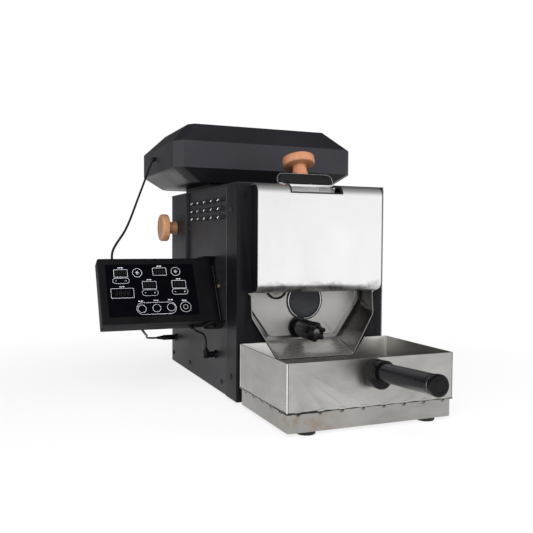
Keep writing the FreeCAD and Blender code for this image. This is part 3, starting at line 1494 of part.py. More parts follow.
# ---------------------------------------------------------------- everything together
nodes = {
    "base_pan": base_pan(),
    "cabinet_pads": cabinet_pads(),
    "front_frame": front_frame(),
    "side_panel_left": side_panel(-1),
    "side_panel_right": side_panel(1),
    "top_panel": top_panel(),
    "rear_panel": rear_panel(),
    "duct_cover": duct_cover(),
    "cabinet_screws": cabinet_screws(),
    "front_cover": front_cover(),
    "cover_cheeks": cover_cheeks(),
    "inlet_trim": inlet_trim(),
    "inlet_hopper": inlet_hopper(),
    "lid_hinge": lid_hinge(),
    "inlet_lid": inlet_lid(),
    "lid_knob": lid_knob(),
    "lid_knob_screw": lid_knob_screw(),
    "discharge_pocket": discharge_pocket(),
    "drum_door": drum_door(),
    "sight_ring": sight_ring(),
    "sight_glass": sight_glass(),
    "probe_port": probe_port(),
    "latch_spindle": latch_spindle(),
    "star_knob": star_knob(),
    "drum_face": drum_face(),
    "roasting_drum": roasting_drum(),
    "drum_housing": drum_housing(),
    "insulation_jacket": insulation_jacket(),
    "bearing_bracket": bearing_bracket(),
    "heater_tubes": heater_tubes(),
    "drum_motor": drum_motor(),
    "exhaust_duct": exhaust_duct(),
    "damper_flap": damper_flap(),
    "damper_knob": damper_knob(),
    "exhaust_neck": exhaust_neck(),
    "hood_tray": hood_tray(),
    "hood_lid": hood_lid(),
    "smoke_filter": smoke_filter(),
    "exhaust_fan_frame": exhaust_fan_frame(),
    "exhaust_fan": exhaust_fan(),
    "blower_case": blower_case(),
    "blower_wheel": blower_wheel(),
    "power_board": power_board(),
    "mains_inlet": mains_inlet(),
    "panel_case": panel_case(),
    "panel_glass": panel_glass(),
    "panel_bracket": panel_bracket(),
    "pivot_screws": pivot_screws(),
    "signal_jacks": signal_jacks(),
    "cable_plugs": cable_plugs(),
    "cable_hood": cord_tube("cable_hood", hood_cable_points(), cable_radius),
    "cable_rear": cord_tube("cable_rear", rear_cable_points(), cable_radius),
    "cable_side": cord_tube("cable_side", side_cable_points(), cable_radius),
    "tray_tub": tray_tub(),
    "tray_floor": tray_floor(),
    "tray_base": tray_base(),
    "tray_pads": tray_pads(),
    "handle_mount": handle_mount(),
    "handle_grip": handle_grip(),
    "handle_cap": handle_cap(),
}
cord_nodes = ("cable_hood", "cable_rear", "cable_side", "cable_plugs")


def footprint_shift():
    """From the cabinet's frame to the roaster's: the middle of the box of everything except the cables."""
    boxes = [shape.BoundBox for name, shape in nodes.items() if name not in cord_nodes]
    middle_x = (min(b.XMin for b in boxes) + max(b.XMax for b in boxes)) / 2
    middle_y = (min(b.YMin for b in boxes) + max(b.YMax for b in boxes)) / 2
    return Vector(-middle_x, -middle_y, 0)


shift = footprint_shift()
for name, shape in nodes.items():
    shape.translate(shift)
    shape.exportStep("parts/" + name + ".step")
print(len(nodes), "nodes, moved by", round(shift.x, 3), round(shift.y, 3), shift.z)
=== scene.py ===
"""Dresses the home coffee roaster: every panel, knob, cable and screw gets its finish and its fine shape.

Lengths typed here are in millimetres in the cabinet's own frame, as in the part's source: x is 0 on the
cabinet's middle, y is 0 on its front plate with +Y towards the back, and z is 0 on the worktop. at() turns
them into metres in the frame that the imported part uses."""
import json
import math

import bmesh
import bpy
from bpy.props import FloatProperty, FloatVectorProperty, IntProperty, PointerProperty
from mathutils import Matrix, Vector


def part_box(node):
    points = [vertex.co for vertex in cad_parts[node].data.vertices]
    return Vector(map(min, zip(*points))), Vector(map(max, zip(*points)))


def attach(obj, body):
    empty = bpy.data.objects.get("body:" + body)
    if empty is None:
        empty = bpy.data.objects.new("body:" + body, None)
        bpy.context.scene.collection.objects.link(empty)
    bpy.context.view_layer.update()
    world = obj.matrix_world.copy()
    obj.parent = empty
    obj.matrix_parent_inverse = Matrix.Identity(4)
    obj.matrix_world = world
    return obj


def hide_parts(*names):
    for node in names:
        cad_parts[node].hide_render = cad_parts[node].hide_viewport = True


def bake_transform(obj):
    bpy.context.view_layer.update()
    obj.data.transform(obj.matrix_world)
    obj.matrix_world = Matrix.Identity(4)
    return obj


bl_info = {
    "name": "Home Coffee Roaster",
    "version": (1, 0, 0),
    "blender": (4, 5, 0),
    "location": "View3D > Sidebar > Roaster",
    "description": "Builds the finishes and fine shapes of a home coffee roaster round its packed solids",
    "category": "Object",
}

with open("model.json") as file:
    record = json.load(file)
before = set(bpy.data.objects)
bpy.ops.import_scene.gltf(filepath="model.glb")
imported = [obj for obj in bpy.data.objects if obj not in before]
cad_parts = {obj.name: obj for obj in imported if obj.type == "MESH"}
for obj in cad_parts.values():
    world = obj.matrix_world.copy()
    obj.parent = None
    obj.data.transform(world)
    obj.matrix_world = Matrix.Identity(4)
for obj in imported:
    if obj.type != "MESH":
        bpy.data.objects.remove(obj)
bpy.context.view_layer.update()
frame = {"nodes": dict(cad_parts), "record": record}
MM = 0.001
top_low, top_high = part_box("top_panel")
CABINET = Vector(((top_low.x + top_high.x) / 2, top_low.y, 0.0))
X, Y, Z = Vector((1, 0, 0)), Vector((0, 1, 0)), Vector((0, 0, 1))
CAMERA_SPOT = (-370.25, -744.92, 197.92)
LID_HINGE = (-7, 42.4, 270.0)
LID_SLOPE = math.radians(19.0)
PANEL_PIVOT = (-113.0, 55.2, 91.3)
PANEL_LEAN = math.radians(-27.5)
PANE_FACE = -10.85
SIDE_FACE = -98.8
PANEL_SIDE_SCREW = (SIDE_FACE, 71.5, 137.6)
LATCH_FLANGE = (-7.0, 26.7, 86.2)
TRAY_FRONT, TRAY_REAR = -145.6, -11.5
TRAY_SEAM = 24.5
TAB_PITCH = 25.0
FIRST_TAB_X, FIRST_TAB_Y = -87.5, -128.0


def at(x, y, z):
    """A point of the cabinet's frame, in millimetres, as a point of the part's frame, in metres."""
    return CABINET + Vector((x, y, z)) * MM


# ---------------------------------------------------------------- what a user may change
def colour(name, description, rgb):
    """A colour setting; red, green and blue are linear."""
    return FloatVectorProperty(name=name, description=description, default=(*rgb, 1.0), size=4, min=0.0, max=1.0,
                               subtype="COLOR")


def length(name, description, millimetres):
    """A length setting, typed in millimetres."""
    return FloatProperty(name=name, description=description, default=millimetres * MM, min=0.0, unit="LENGTH")


class RoasterSizes(bpy.types.PropertyGroup):
    """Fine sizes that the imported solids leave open."""
    cable_diameter: length("Cable diameter", "Thickness of the three signal cables", 3.0)
    sheet_edge: length("Sheet edge", "Rounding along the cut edges of sheet metal", 0.25)
    fold_edge: length("Fold edge", "Rounding along the folds of the hood and the cover", 1.2)
    mould_edge: length("Moulded edge", "Rounding along the edges of moulded plastic", 0.6)
    print_line: length("Printed line", "Width of the lines printed on the control panel", 0.42)
    print_rise: length("Print rise", "Height of the printed lines above the pane", 0.03)
    curve_steps: IntProperty(name="Curve steps", description="Facets round a turned piece", default=64, min=12)


class RoasterColours(bpy.types.PropertyGroup):
    """Base colours of the finishes."""
    paint: colour("Cabinet paint", "Satin powder coat on the cabinet", (0.0145, 0.0145, 0.018))
    hood_paint: colour("Hood paint", "Satin powder coat on the hood", (0.018, 0.018, 0.023))
    stainless: colour("Stainless", "Brushed sheet of the cover and the inlet", (0.95, 0.95, 0.955))
    tray_steel: colour("Tray stainless", "Brushed sheet of the cooling tray", (0.44, 0.43, 0.41))
    heat_tint: colour("Heat tint", "Brown that heat and oil leave on the tray", (0.30, 0.19, 0.11))
    wood_light: colour("Light wood", "Early wood of the turned knobs", (0.50, 0.255, 0.135))
    wood_dark: colour("Dark wood", "Late wood and flecks of the turned knobs", (0.33, 0.145, 0.065))
    pocket_steel: colour("Pocket stainless", "Brushed sheet of the discharge pocket", (0.60, 0.59, 0.57))
    door_steel: colour("Door stainless", "Brushed sheet of the drum door", (0.57, 0.56, 0.54))
    # Painted shade: the lid's dark colour stands in for the dark reflection on its tilted apron.
    lid_steel: colour("Lid steel", "Dark brushed sheet of the inlet lid", (0.055, 0.055, 0.058))
    sight_glass: colour("Sight glass", "Smoked glass of the drum door's window", (0.030, 0.031, 0.034))
    moulding: colour("Moulding", "Black moulded handles and plugs", (0.0025, 0.0025, 0.0032))
    panel: colour("Panel case", "Moulded case of the control panel", (0.010, 0.010, 0.012))
    pane: colour("Pane", "Polished pane of the control panel", (0.0012, 0.0012, 0.0022))
    ink: colour("Printed ink", "Lines printed on the pane", (0.46, 0.47, 0.51))
    display: colour("Display segment", "Unlit segments of the number displays", (0.013, 0.013, 0.010))
    brass: colour("Passivated zinc", "Yellowish screw beside the control panel", (0.50, 0.38, 0.18))
    rubber: colour("Rubber", "Pads, edging and cable jackets", (0.010, 0.010, 0.011))
    zinc: colour("Zinc", "Plated screws and sockets", (0.55, 0.55, 0.53))
    inner_steel: colour("Inner steel", "Plain sheet inside the cabinet", (0.45, 0.45, 0.45))


class RoasterStudio(bpy.types.PropertyGroup):
    """The camera, the lamps and the floor."""
    lens: FloatProperty(name="Lens", description="Focal length of the camera", default=45.36, unit="CAMERA")
    yaw: FloatProperty(name="Yaw", description="How far the camera looks to the right of straight ahead",
                       default=0.392, subtype="ANGLE")
    pitch: FloatProperty(name="Pitch", description="How far the camera looks down", default=0.041, subtype="ANGLE")
    roll: FloatProperty(name="Roll", description="How far the camera leans", default=0.006, subtype="ANGLE")
    key_power: FloatProperty(name="Key lamp", description="Power of the large lamp on the left", default=26.0,
                             unit="POWER")
    fill_power: FloatProperty(name="Fill lamp", description="Power of the lamp on the right", default=12.0,
                              unit="POWER")
    top_power: FloatProperty(name="Top lamp", description="Power of the lamp overhead", default=1.2, unit="POWER")
    ambient: FloatProperty(name="Ambient", description="Level of the soft light from all round", default=0.36,
                           min=0.0)
    mirrored: FloatProperty(name="Mirrored", description="Level of the walls that metal and glass mirror",
                            default=1.12, min=0.0)
    mirrored_behind: FloatProperty(name="Mirrored behind", description="Share of that level behind the roaster",
                                   default=0.22, min=0.0)
    floor: colour("Floor", "Plain floor and backdrop", (0.90, 0.90, 0.90))


def sizes():
    """The lengths set for this scene."""
    return bpy.context.scene.roaster_sizes


def colours():
    """The colours set for this scene."""
    return bpy.context.scene.roaster_colours


def studio():
    """The camera, lamps and floor set for this scene."""
    return bpy.context.scene.roaster_studio


# ---------------------------------------------------------------- finishes
class Nodes:
    """Shader nodes being joined in a tree."""

    def __init__(self, tree):
        self.tree = tree

    def feed(self, socket, value):
        """Gives a socket a value, or joins a node's output to it."""
        if isinstance(value, bpy.types.NodeSocket):
            self.tree.links.new(value, socket)
        else:
            socket.default_value = value

    def add(self, kind, settings=(), **inputs):
        """A shader node with its settings and inputs."""
        node = self.tree.nodes.new("ShaderNode" + kind)
        for key, value in dict(settings).items():
            setattr(node, key, value)
        for key, value in inputs.items():
            self.feed(node.inputs[key.replace("_", " ")], value)
        return node

    def spread(self, value, low, high, start=0.0, end=1.0):
        """Stretches low..high of a value to start..end."""
        node = self.add("MapRange", Value=value, From_Min=low, From_Max=high, To_Min=start, To_Max=end)
        return node.outputs["Result"]

    def math(self, operation, first, second=0.0, clamp=False):
        """Arithmetic on one or two values."""
        node = self.add("Math", {"operation": operation, "use_clamp": clamp})
        self.feed(node.inputs[0], first)
        self.feed(node.inputs[1], second)
        return node.outputs[0]


class Recipe(Nodes):
    """A finish being mixed: its nodes and its shader, with patterns that lie still in the piece's own space."""

    def __init__(self, name, base, metallic=0.0, roughness=0.5):
        self.material = bpy.data.materials.new(name)
        self.material.use_nodes = True
        super().__init__(self.material.node_tree)
        self.shader = self.tree.nodes["Principled BSDF"]
        self.material.diffuse_color = (*tuple(base)[:3], 1.0)
        self.set("Base Color", base)
        self.set("Metallic", metallic)
        self.set("Roughness", roughness)

    def set(self, socket, value):
        """Gives one of the shader's sockets a value, or joins another node's output to it."""
        self.feed(self.shader.inputs[socket], value)

    def space(self, stretch=(1, 1, 1), turn=(0, 0, 0), centre=(0, 0, 0)):
        """Object coordinates, moved so that centre is at zero, turned, and stretched along each axis."""
        coordinates = self.add("TexCoord").outputs["Object"]
        moved = self.add("VectorMath", {"operation": "SUBTRACT"}, Vector=coordinates)
        moved.inputs[1].default_value = centre
        return self.add("Mapping", Vector=moved.outputs[0], Rotation=turn, Scale=stretch).outputs[0]

    def place(self, axis):
        """One coordinate in the piece's own space, in metres."""
        return self.add("SeparateXYZ", Vector=self.space()).outputs[axis]

    def facing(self, axis):
        """How far a face looks along one of the piece's own axes, from -1 to 1."""
        return self.add("SeparateXYZ", Vector=self.add("TexCoord").outputs["Normal"]).outputs[axis]

    def away_from(self, centre):
        """Distance from a point, in metres."""
        node = self.add("VectorMath", {"operation": "DISTANCE"}, Vector=self.space())
        node.inputs[1].default_value = centre
        return node.outputs["Value"]

    def noise(self, vector, scale, detail=2.0, roughness=0.5, distortion=0.0):
        """Noise in a vector's space, from 0 to 1."""
        return self.add("TexNoise", Vector=vector, Scale=scale, Detail=detail, Roughness=roughness,
                        Distortion=distortion).outputs["Fac"]

    def blend(self, share, first, second):
        """A mix of two colours; a share of 1 is the second."""
        node = self.add("Mix", {"data_type": "RGBA"})
        for index, value in ((0, share), (6, first), (7, second)):
            self.feed(node.inputs[index], value)
        return node.outputs[2]

    def relief(self, height, depth, strength=1.0):
        """Bump of a depth in metres; a second call adds to the first."""
        before = self.shader.inputs["Normal"].links
        node = self.add("Bump", Height=height, Distance=depth, Strength=strength)
        if before:
            self.feed(node.inputs["Normal"], before[0].from_socket)
        self.set("Normal", node.outputs[0])


def shade(rgb, factor):
    """A colour made darker or lighter."""
    return (*[min(1.0, c * factor) for c in tuple(rgb)[:3]], 1.0)


def powder_coat(name, base, roughness=0.46, specular=0.22, painted_underside_shade=1.0):
    """Satin powder coat: fine orange peel, faint clouds and a few pale specks of dust."""
    recipe = Recipe(name, base, 0.0, roughness)
    plain = recipe.space()
    clouds = recipe.noise(plain, 9.0, 4.0, 0.6)
    peel = recipe.noise(plain, 1500.0, 2.0, 0.6)
    specks = recipe.spread(recipe.noise(plain, 700.0, 0.0), 0.80, 0.86)
    body = recipe.blend(recipe.spread(clouds, 0.3, 0.7), shade(base, 0.86), shade(base, 1.18))
    body = recipe.blend(recipe.math("MULTIPLY", specks, 0.35), body, shade(base, 5.0))
    recipe.set("Roughness", recipe.spread(clouds, 0.3, 0.7, roughness - 0.05, roughness + 0.07))
    recipe.set("Specular IOR Level", specular)
    # Painted shade: faces that look down are darkened, standing in for the shade under the hood.
    if painted_underside_shade < 1.0:
        shaded_below = recipe.spread(recipe.facing("Z"), -0.25, -0.45)
        body = recipe.blend(shaded_below, body, shade(base, painted_underside_shade))
    recipe.set("Base Color", body)
    recipe.relief(peel, 0.00006, 0.5)
    return recipe.material


def brushed_metal(name, base, grain=(1, 1, 1), roughness=0.30, clouding=0.10, depth=0.00002, metallic=1.0):
    """Brushed sheet: grain is how fast the scratches change along each axis, least along the brushing."""
    recipe = Recipe(name, base, metallic, roughness)
    streaks = recipe.noise(recipe.space(grain), 1.0, 3.0, 0.65)
    fine = recipe.noise(recipe.space([2.7 * g for g in grain]), 1.0, 1.0)
    clouds = recipe.noise(recipe.space(), 16.0, 4.0, 0.55)
    tone = recipe.math("ADD", recipe.math("MULTIPLY", streaks, 0.5), recipe.math("MULTIPLY", clouds, 0.5))
    recipe.set("Base Color", recipe.blend(recipe.spread(tone, 0.3, 0.7), shade(base, 1 - clouding),
                                          shade(base, 1 + clouding)))
    recipe.set("Roughness", recipe.spread(streaks, 0.25, 0.75, roughness - 0.06, roughness + 0.09))
    recipe.relief(fine, depth, 0.5)
    recipe.relief(streaks, depth * 2, 0.4)
    return recipe.material


def moulded(name, base, roughness=0.42, grain=900.0, depth=0.00005, specular=0.3):
    """Moulded plastic with a fine spark-eroded texture."""
    recipe = Recipe(name, base, 0.0, roughness)
    texture = recipe.noise(recipe.space(), grain, 3.0, 0.6)
    clouds = recipe.noise(recipe.space(), 30.0, 2.0)
    recipe.set("Base Color", recipe.blend(recipe.spread(clouds, 0.35, 0.65), shade(base, 0.85), shade(base, 1.25)))
    recipe.set("Roughness", recipe.spread(clouds, 0.3, 0.7, roughness - 0.05, roughness + 0.08))
    recipe.set("Specular IOR Level", specular)
    recipe.relief(texture, depth, 0.5)
    return recipe.material


def polished(name, base, roughness=0.06, specular=0.16):
    """A polished pane with faint wiping marks."""
    recipe = Recipe(name, base, 0.0, roughness)
    marks = recipe.noise(recipe.space((40, 40, 160), (0.2, 0.5, 0.0)), 1.0, 4.0, 0.6, 0.6)
    recipe.set("Roughness", recipe.spread(marks, 0.45, 0.8, roughness, roughness + 0.09))
    recipe.set("Base Color", recipe.blend(recipe.spread(marks, 0.4, 0.9), base, shade(base, 1.8)))
    recipe.set("Specular IOR Level", specular)
    return recipe.material


def turned_wood(name, axis, centre, tint=(1.0, 1.0, 1.0), painted_shadow_at=None):
    """Clear-varnished beech, turned across the grain: soft bands, short dark flecks and open pores."""
    light, dark = ((*(part * share for part, share in zip(wood, tint)), 1.0)
                   for wood in (colours().wood_light, colours().wood_dark))
    recipe = Recipe(name, light, 0.0, 0.42)
    stretch = Vector((1, 1, 1)) - 0.86 * axis
    grain = recipe.space(stretch, (0.35, 0.2, 0.15), centre)
    bands = recipe.noise(grain, 230.0, 3.0, 0.6, 0.8)
    flecks = recipe.spread(recipe.noise(grain, 900.0, 1.0), 0.66, 0.78)
    pores = recipe.noise(grain, 1600.0, 1.0)
    body = recipe.blend(recipe.spread(bands, 0.30, 0.80, 0.0, 0.7), light, dark)
    body = recipe.blend(recipe.math("MULTIPLY", flecks, 0.3), body, shade(dark, 0.7))
    # Painted shadow: the wood darkens near painted_shadow_at, where the damper knob's stem meets the cabinet side.
    if painted_shadow_at:
        near = recipe.spread(recipe.away_from(painted_shadow_at), 0.010, 0.026, 0.75, 0.0)
        body = recipe.blend(near, body, shade(dark, 0.35))
    recipe.set("Base Color", body)
    recipe.set("Roughness", recipe.spread(bands, 0.3, 0.7, 0.36, 0.50))
    recipe.set("Coat Weight", 0.15)
    recipe.set("Coat Roughness", 0.25)
    recipe.relief(pores, 0.00005, 0.5)
    return recipe.material


def rubber(name, base, roughness=0.6):
    """Black rubber with a faint skin and a little dust."""
    recipe = Recipe(name, base, 0.0, roughness)
    recipe.set("Specular IOR Level", 0.25)
    recipe.relief(recipe.noise(recipe.space(), 1100.0, 2.0), 0.00006, 0.5)
    dust = recipe.spread(recipe.noise(recipe.space(), 60.0, 4.0, 0.65), 0.5, 0.8)
    recipe.set("Base Color", recipe.blend(dust, base, shade(base, 2.2)))
    return recipe.material


def plated(name, base, roughness=0.24):
    """Bright zinc or turned metal with fine turning marks."""
    recipe = Recipe(name, base, 1.0, roughness)
    marks = recipe.noise(recipe.space(), 520.0, 3.0, 0.6)
    recipe.set("Base Color", recipe.blend(recipe.spread(marks, 0.3, 0.7), shade(base, 0.85), shade(base, 1.12)))
    recipe.set("Roughness", recipe.spread(marks, 0.3, 0.7, roughness - 0.05, roughness + 0.12))
    recipe.relief(marks, 0.00002, 0.4)
    return recipe.material


def cover_steel(name):
    """Satin sheet of the front cover, with a darker band painted along its lower bend as the bend's dim
    reflection.
    """
    base = colours().stainless
    recipe = Recipe(name, base, 1.0, 0.34)
    grain = recipe.noise(recipe.space((60, 60, 3400)), 1.0, 3.0, 0.6)
    clouds = recipe.noise(recipe.space((1, 1, 0.5)), 22.0, 4.0, 0.6, 0.4)
    fringe = recipe.spread(recipe.noise(recipe.space(), 38.0, 3.0, 0.6, 0.4), 0.3, 0.7, -0.005, 0.005)
    # Painted reflection: the band darkens the lower bend, with a ragged upper edge.
    low = recipe.spread(recipe.math("ADD", recipe.place("Z"), fringe), 0.1375, 0.1465, 1.0, 0.0)
    body = recipe.blend(recipe.spread(clouds, 0.3, 0.7), shade(base, 0.97), shade(base, 1.04))
    reflection_patches = recipe.spread(recipe.noise(recipe.space(), 62.0, 4.0, 0.6, 0.3), 0.42, 0.64, 0.34, 0.84)
    # Painted reflection: a darker patch in the band where the latch knob is mirrored.
    spot = recipe.spread(recipe.away_from(at(2, -24, 137)), 0.004, 0.016, 0.92, 0.0)
    painted_reflection = recipe.math("MULTIPLY", low, recipe.math("MAXIMUM", reflection_patches, spot))
    recipe.set("Base Color", recipe.blend(painted_reflection, body, (0.10, 0.095, 0.085, 1.0)))
    recipe.set("Roughness", recipe.spread(grain, 0.25, 0.75, 0.30, 0.42))
    recipe.relief(grain, 0.00003, 0.35)
    return recipe.material


def stained_steel(name, base, roughness, corner, reach, rear=None):
    """Brushed tray sheet with rolling scratches, smudges, and brown heat stains round a welded corner.

    reach is how far the stains go; behind rear the sheet is lightened, as painted light on the tub's shaded back
    wall."""
    recipe = Recipe(name, base, 1.0, roughness)
    streaks = recipe.noise(recipe.space((26, 26, 2600)), 1.0, 3.0, 0.65)
    smudges = recipe.noise(recipe.space((1, 1, 1.6)), 15.0, 4.0, 0.6, 0.5)
    near = recipe.spread(recipe.away_from(corner), 0.0, reach, 1.0, 0.0)
    blots = recipe.spread(recipe.noise(recipe.space(), 70.0, 4.0, 0.65, 0.6), 0.45, 0.65)
    stain = recipe.math("MULTIPLY", recipe.math("MULTIPLY", near, blots), 0.75)
    body = recipe.blend(recipe.spread(smudges, 0.3, 0.72), shade(base, 0.80), shade(base, 1.14))
    # Painted light: behind rear the sheet is lighter, where the pocket shades the tub's back wall.
    if rear is not None:
        behind = recipe.spread(recipe.place("Y"), rear - 0.002, rear)
        body = recipe.blend(behind, body, shade(base, 1.75))
    recipe.set("Base Color", recipe.blend(stain, body, colours().heat_tint))
    recipe.set("Roughness", recipe.spread(streaks, 0.25, 0.75, roughness - 0.05, roughness + 0.09))
    recipe.relief(streaks, 0.00003, 0.4)
    return recipe.material


def circuit_board(name, base):
    """Green solder mask with paler copper tracks under it."""
    recipe = Recipe(name, base, 0.0, 0.35)
    tracks = recipe.add("TexBrick", Vector=recipe.space(), Scale=90.0).outputs["Fac"]
    recipe.set("Base Color", recipe.blend(tracks, base, shade(base, 2.0)))
    recipe.relief(tracks, 0.00003, 0.4)
    return recipe.material


def fleece(name, base):
    """Loose fibres of the filter and of the drum's insulation."""
    recipe = Recipe(name, base, 0.0, 0.92)
    fibres = recipe.noise(recipe.space((1, 2.2, 1)), 420.0, 5.0, 0.7, 1.2)
    recipe.set("Base Color", recipe.blend(recipe.spread(fibres, 0.3, 0.7), shade(base, 0.7), shade(base, 1.2)))
    recipe.set("Sheen Weight", 0.2)
    recipe.relief(fibres, 0.0004, 0.7)
    return recipe.material


def pocket_steel(name, base):
    """Rolled sheet of the pocket with painted light: lighter on its floor, darker on faces that look front or
    back, and a painted dark reflection on its two sloping walls.
    """
    recipe = Recipe(name, base, 0.92, 0.24)
    slope = recipe.spread(recipe.math("ABSOLUTE", recipe.facing("X")), 0.40, 0.62)
    streaks = recipe.noise(recipe.space((30, 30, 2600)), 1.0, 3.0, 0.65)
    clouds = recipe.noise(recipe.space(), 24.0, 4.0, 0.6, 0.5)
    # Painted reflection: the sloping walls darken, more towards the top.
    dark_reflection = recipe.math("MULTIPLY", slope, recipe.spread(recipe.place("Z"), 0.056, 0.082, 0.35, 1.0))
    dark_reflection = recipe.math("MULTIPLY", dark_reflection, recipe.spread(clouds, 0.30, 0.70, 0.86, 0.98))
    # Painted light: a lightened copy of the steel, with a darkened copy on faces that look front or back.
    body = recipe.blend(recipe.spread(clouds, 0.3, 0.7), shade(base, 1.30), shade(base, 1.55))
    upright = recipe.spread(recipe.math("ABSOLUTE", recipe.facing("Y")), 0.86, 0.95)
    body = recipe.blend(upright, body, shade(base, 0.42))
    recipe.set("Base Color", recipe.blend(dark_reflection, body, (0.030, 0.028, 0.026, 1.0)))
    recipe.set("Roughness", recipe.spread(streaks, 0.25, 0.75, 0.20, 0.30))
    recipe.relief(streaks, 0.000012, 0.4)
    return recipe.material


FINISHES = {}


def finish(name):
    """A finish by name, mixed once."""
    if name not in FINISHES:
        c = colours()
        maker, *settings = {
            "cabinet_paint": (powder_coat, c.paint, 0.44, 0.20),
            # Painted shade: the upper hood shell takes a darker copy of the hood paint, for the shade on its
            # sloping faces.
            "hood_paint": (powder_coat, shade(c.hood_paint, 0.6), 0.44, 0.16),
            # The lower hood shell gets painted shade on its downward faces.
            "hood_low_paint": (powder_coat, c.hood_paint, 0.42, 0.24, 0.3),
            "frame_paint": (powder_coat, shade(c.paint, 0.45), 0.38, 0.11),
            "cover_steel": (cover_steel,),
            "inlet_steel": (brushed_metal, shade(c.stainless, 1.02), (1500, 30, 30), 0.34, 0.03, 0.000004),
            # Painted shade: the dark lid steel stands in for the apron's dark reflection.
            "lid_steel": (brushed_metal, c.lid_steel, (30, 1200, 1200), 0.22, 0.04, 0.000005),
            "pocket_steel": (pocket_steel, c.pocket_steel),
            "door_steel": (brushed_metal, c.door_steel, (30, 30, 2600), 0.40, 0.10, 0.00002, 0.75),
            "ring_steel": (brushed_metal, shade(c.stainless, 0.62), (900, 900, 900), 0.24),
            "port_steel": (brushed_metal, (0.40, 0.38, 0.35, 1.0), (900, 900, 900), 0.30),
            # Painted light on the tub's back wall, behind TRAY_REAR.
            "tray_steel": (stained_steel, c.tray_steel, 0.30, at(-99, -20, 72), 0.020,
                           at(0, TRAY_REAR - 1.5, 0).y),
            "base_steel": (stained_steel, shade(c.tray_steel, 0.8), 0.34, at(-95, -140, 14), 0.075),
            "inner_steel": (brushed_metal, c.inner_steel, (500, 500, 500), 0.36),
            # The lid knob's wood is a darker copy of the same wood: partly a browner tone, partly painted shade.
            "wood_of_lid": (turned_wood, Vector((0.0, 0.33, 0.94)), at(-7, 15, 285), (0.74, 0.66, 0.64)),
            # Painted shadow on the damper knob's stem next to the cabinet.
            "wood_of_damper": (turned_wood, X, at(-115, 264, 214), (1.0, 1.0, 1.0), at(-104, 264, 214)),
            "moulding": (moulded, c.moulding, 0.24, 900.0, 0.00005, 0.15),
            "knob_black": (moulded, shade(c.moulding, 0.8), 0.27),
            "grip": (moulded, shade(c.moulding, 3.2), 0.26, 600.0, 0.00002),
            "cap": (moulded, c.moulding, 0.28, 700.0, 0.00002, 0.18),
            "panel_case": (moulded, shade(c.panel, 0.4), 0.48, 1100.0, 0.00003, 0.07),
            "pane": (polished, c.pane, 0.10, 0.012),
            "sight_glass": (polished, c.sight_glass, 0.12),
            "ink": (moulded, c.ink, 0.6, 2500.0, 0.00001),
            "dim_ink": (moulded, c.display, 0.5, 2500.0, 0.00001),
            "rubber": (rubber, c.rubber),
            "cable_jacket": (rubber, c.rubber, 0.45),
            "zinc": (plated, c.zinc, 0.26),
            "tab_steel": (plated, (0.24, 0.19, 0.145, 1.0), 0.32),
            # Painted highlight: brighter steel for the bead along the lid's apron.
            "bead_steel": (plated, shade(c.stainless, 0.45), 0.22),
            "edge_black": (rubber, shade(c.rubber, 0.3)),
            # Painted highlight: near-white for the glints at the louvres' ends.
            "bare_edge": (moulded, (0.80, 0.80, 0.81, 1.0), 0.5, 900.0, 0.00001),
            # Painted highlight: a light line along the frame's rear fold.
            "worn_paint": (moulded, shade(c.paint, 7.0), 0.4, 900.0, 0.00001),
            "brass": (plated, c.brass, 0.28),
            # Painted highlight: brighter steel for the strips up the tray's front corners.
            "turned_steel": (plated, c.stainless, 0.18),
            "spindle_steel": (plated, shade(c.zinc, 0.40), 0.30),
            "black_screw": (plated, shade(c.zinc, 0.10), 0.35),
            # Painted light: screw heads take a lighter copy of the cabinet paint, to cancel the shade round their
            # rims.
            "screw_paint": (powder_coat, shade(c.paint, 1.3), 0.44, 0.24),
            "board": (circuit_board, (0.010, 0.085, 0.035, 1.0)),
            "motor_case": (brushed_metal, shade(c.inner_steel, 0.6), (900, 30, 900), 0.4),
            "fleece": (fleece, (0.62, 0.60, 0.55, 1.0)),
            "fan_plastic": (moulded, shade(c.moulding, 1.5), 0.5, 900.0, 0.00004),
        }[name]
        FINISHES[name] = maker(name, *settings)
    return FINISHES[name]


# ---------------------------------------------------------------- pieces
BODY_OF = {node: body for body, nodes in frame["record"]["behaviour"]["bodies"].items() for node in nodes}
SLOT_OF = {part["node"]: part["material_slot"] for part in frame["record"]["subparts"]}


def settle(piece, coat, body, slot=None, replaces=()):
    """Gives a piece its finish and its body, and hides the imported solids it stands for."""
    piece.data.materials.clear()
    piece.data.materials.append(coat)
    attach(piece, body)
    if replaces:
        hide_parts(*replaces)
        slot = slot or SLOT_OF[replaces[0]]
    return piece


def object_of(name, mesh):
    """A new object in the scene, at the origin."""
    piece = bpy.data.objects.new(name, mesh)
    bpy.context.scene.collection.objects.link(piece)
    return piece


def smooth(mesh, angle=35.0):
    """Smooth shading, with edges kept sharp where the faces turn by more than an angle in degrees."""
    mesh.polygons.foreach_set("use_smooth", [True] * len(mesh.polygons))
    mesh.set_sharp_from_angle(angle=math.radians(angle))
    mesh.update()


def object_from(bm, name, angle):
    """An object from mesh code as it is."""
    mesh = bpy.data.meshes.new(name)
    bm.to_mesh(mesh)
    bm.free()
    smooth(mesh, angle)
    return object_of(name, mesh)


def made_from(bm, name, angle=35.0):
    """An object from mesh code, with its doubles merged and its faces turned outwards."""
    bmesh.ops.remove_doubles(bm, verts=bm.verts, dist=1e-7)
    bmesh.ops.recalc_face_normals(bm, faces=bm.faces)
    return object_from(bm, name, angle)


def applied(piece, angle=None):
    """Turns a piece with modifiers into a plain mesh at the origin."""
    graph = bpy.context.evaluated_depsgraph_get()
    mesh = bpy.data.meshes.new_from_object(piece.evaluated_get(graph), depsgraph=graph)
    mesh.name = piece.name
    piece.modifiers.clear()
    old = piece.data
    piece.data = mesh
    bpy.data.meshes.remove(old)
    if angle is not None:
        smooth(mesh, angle)


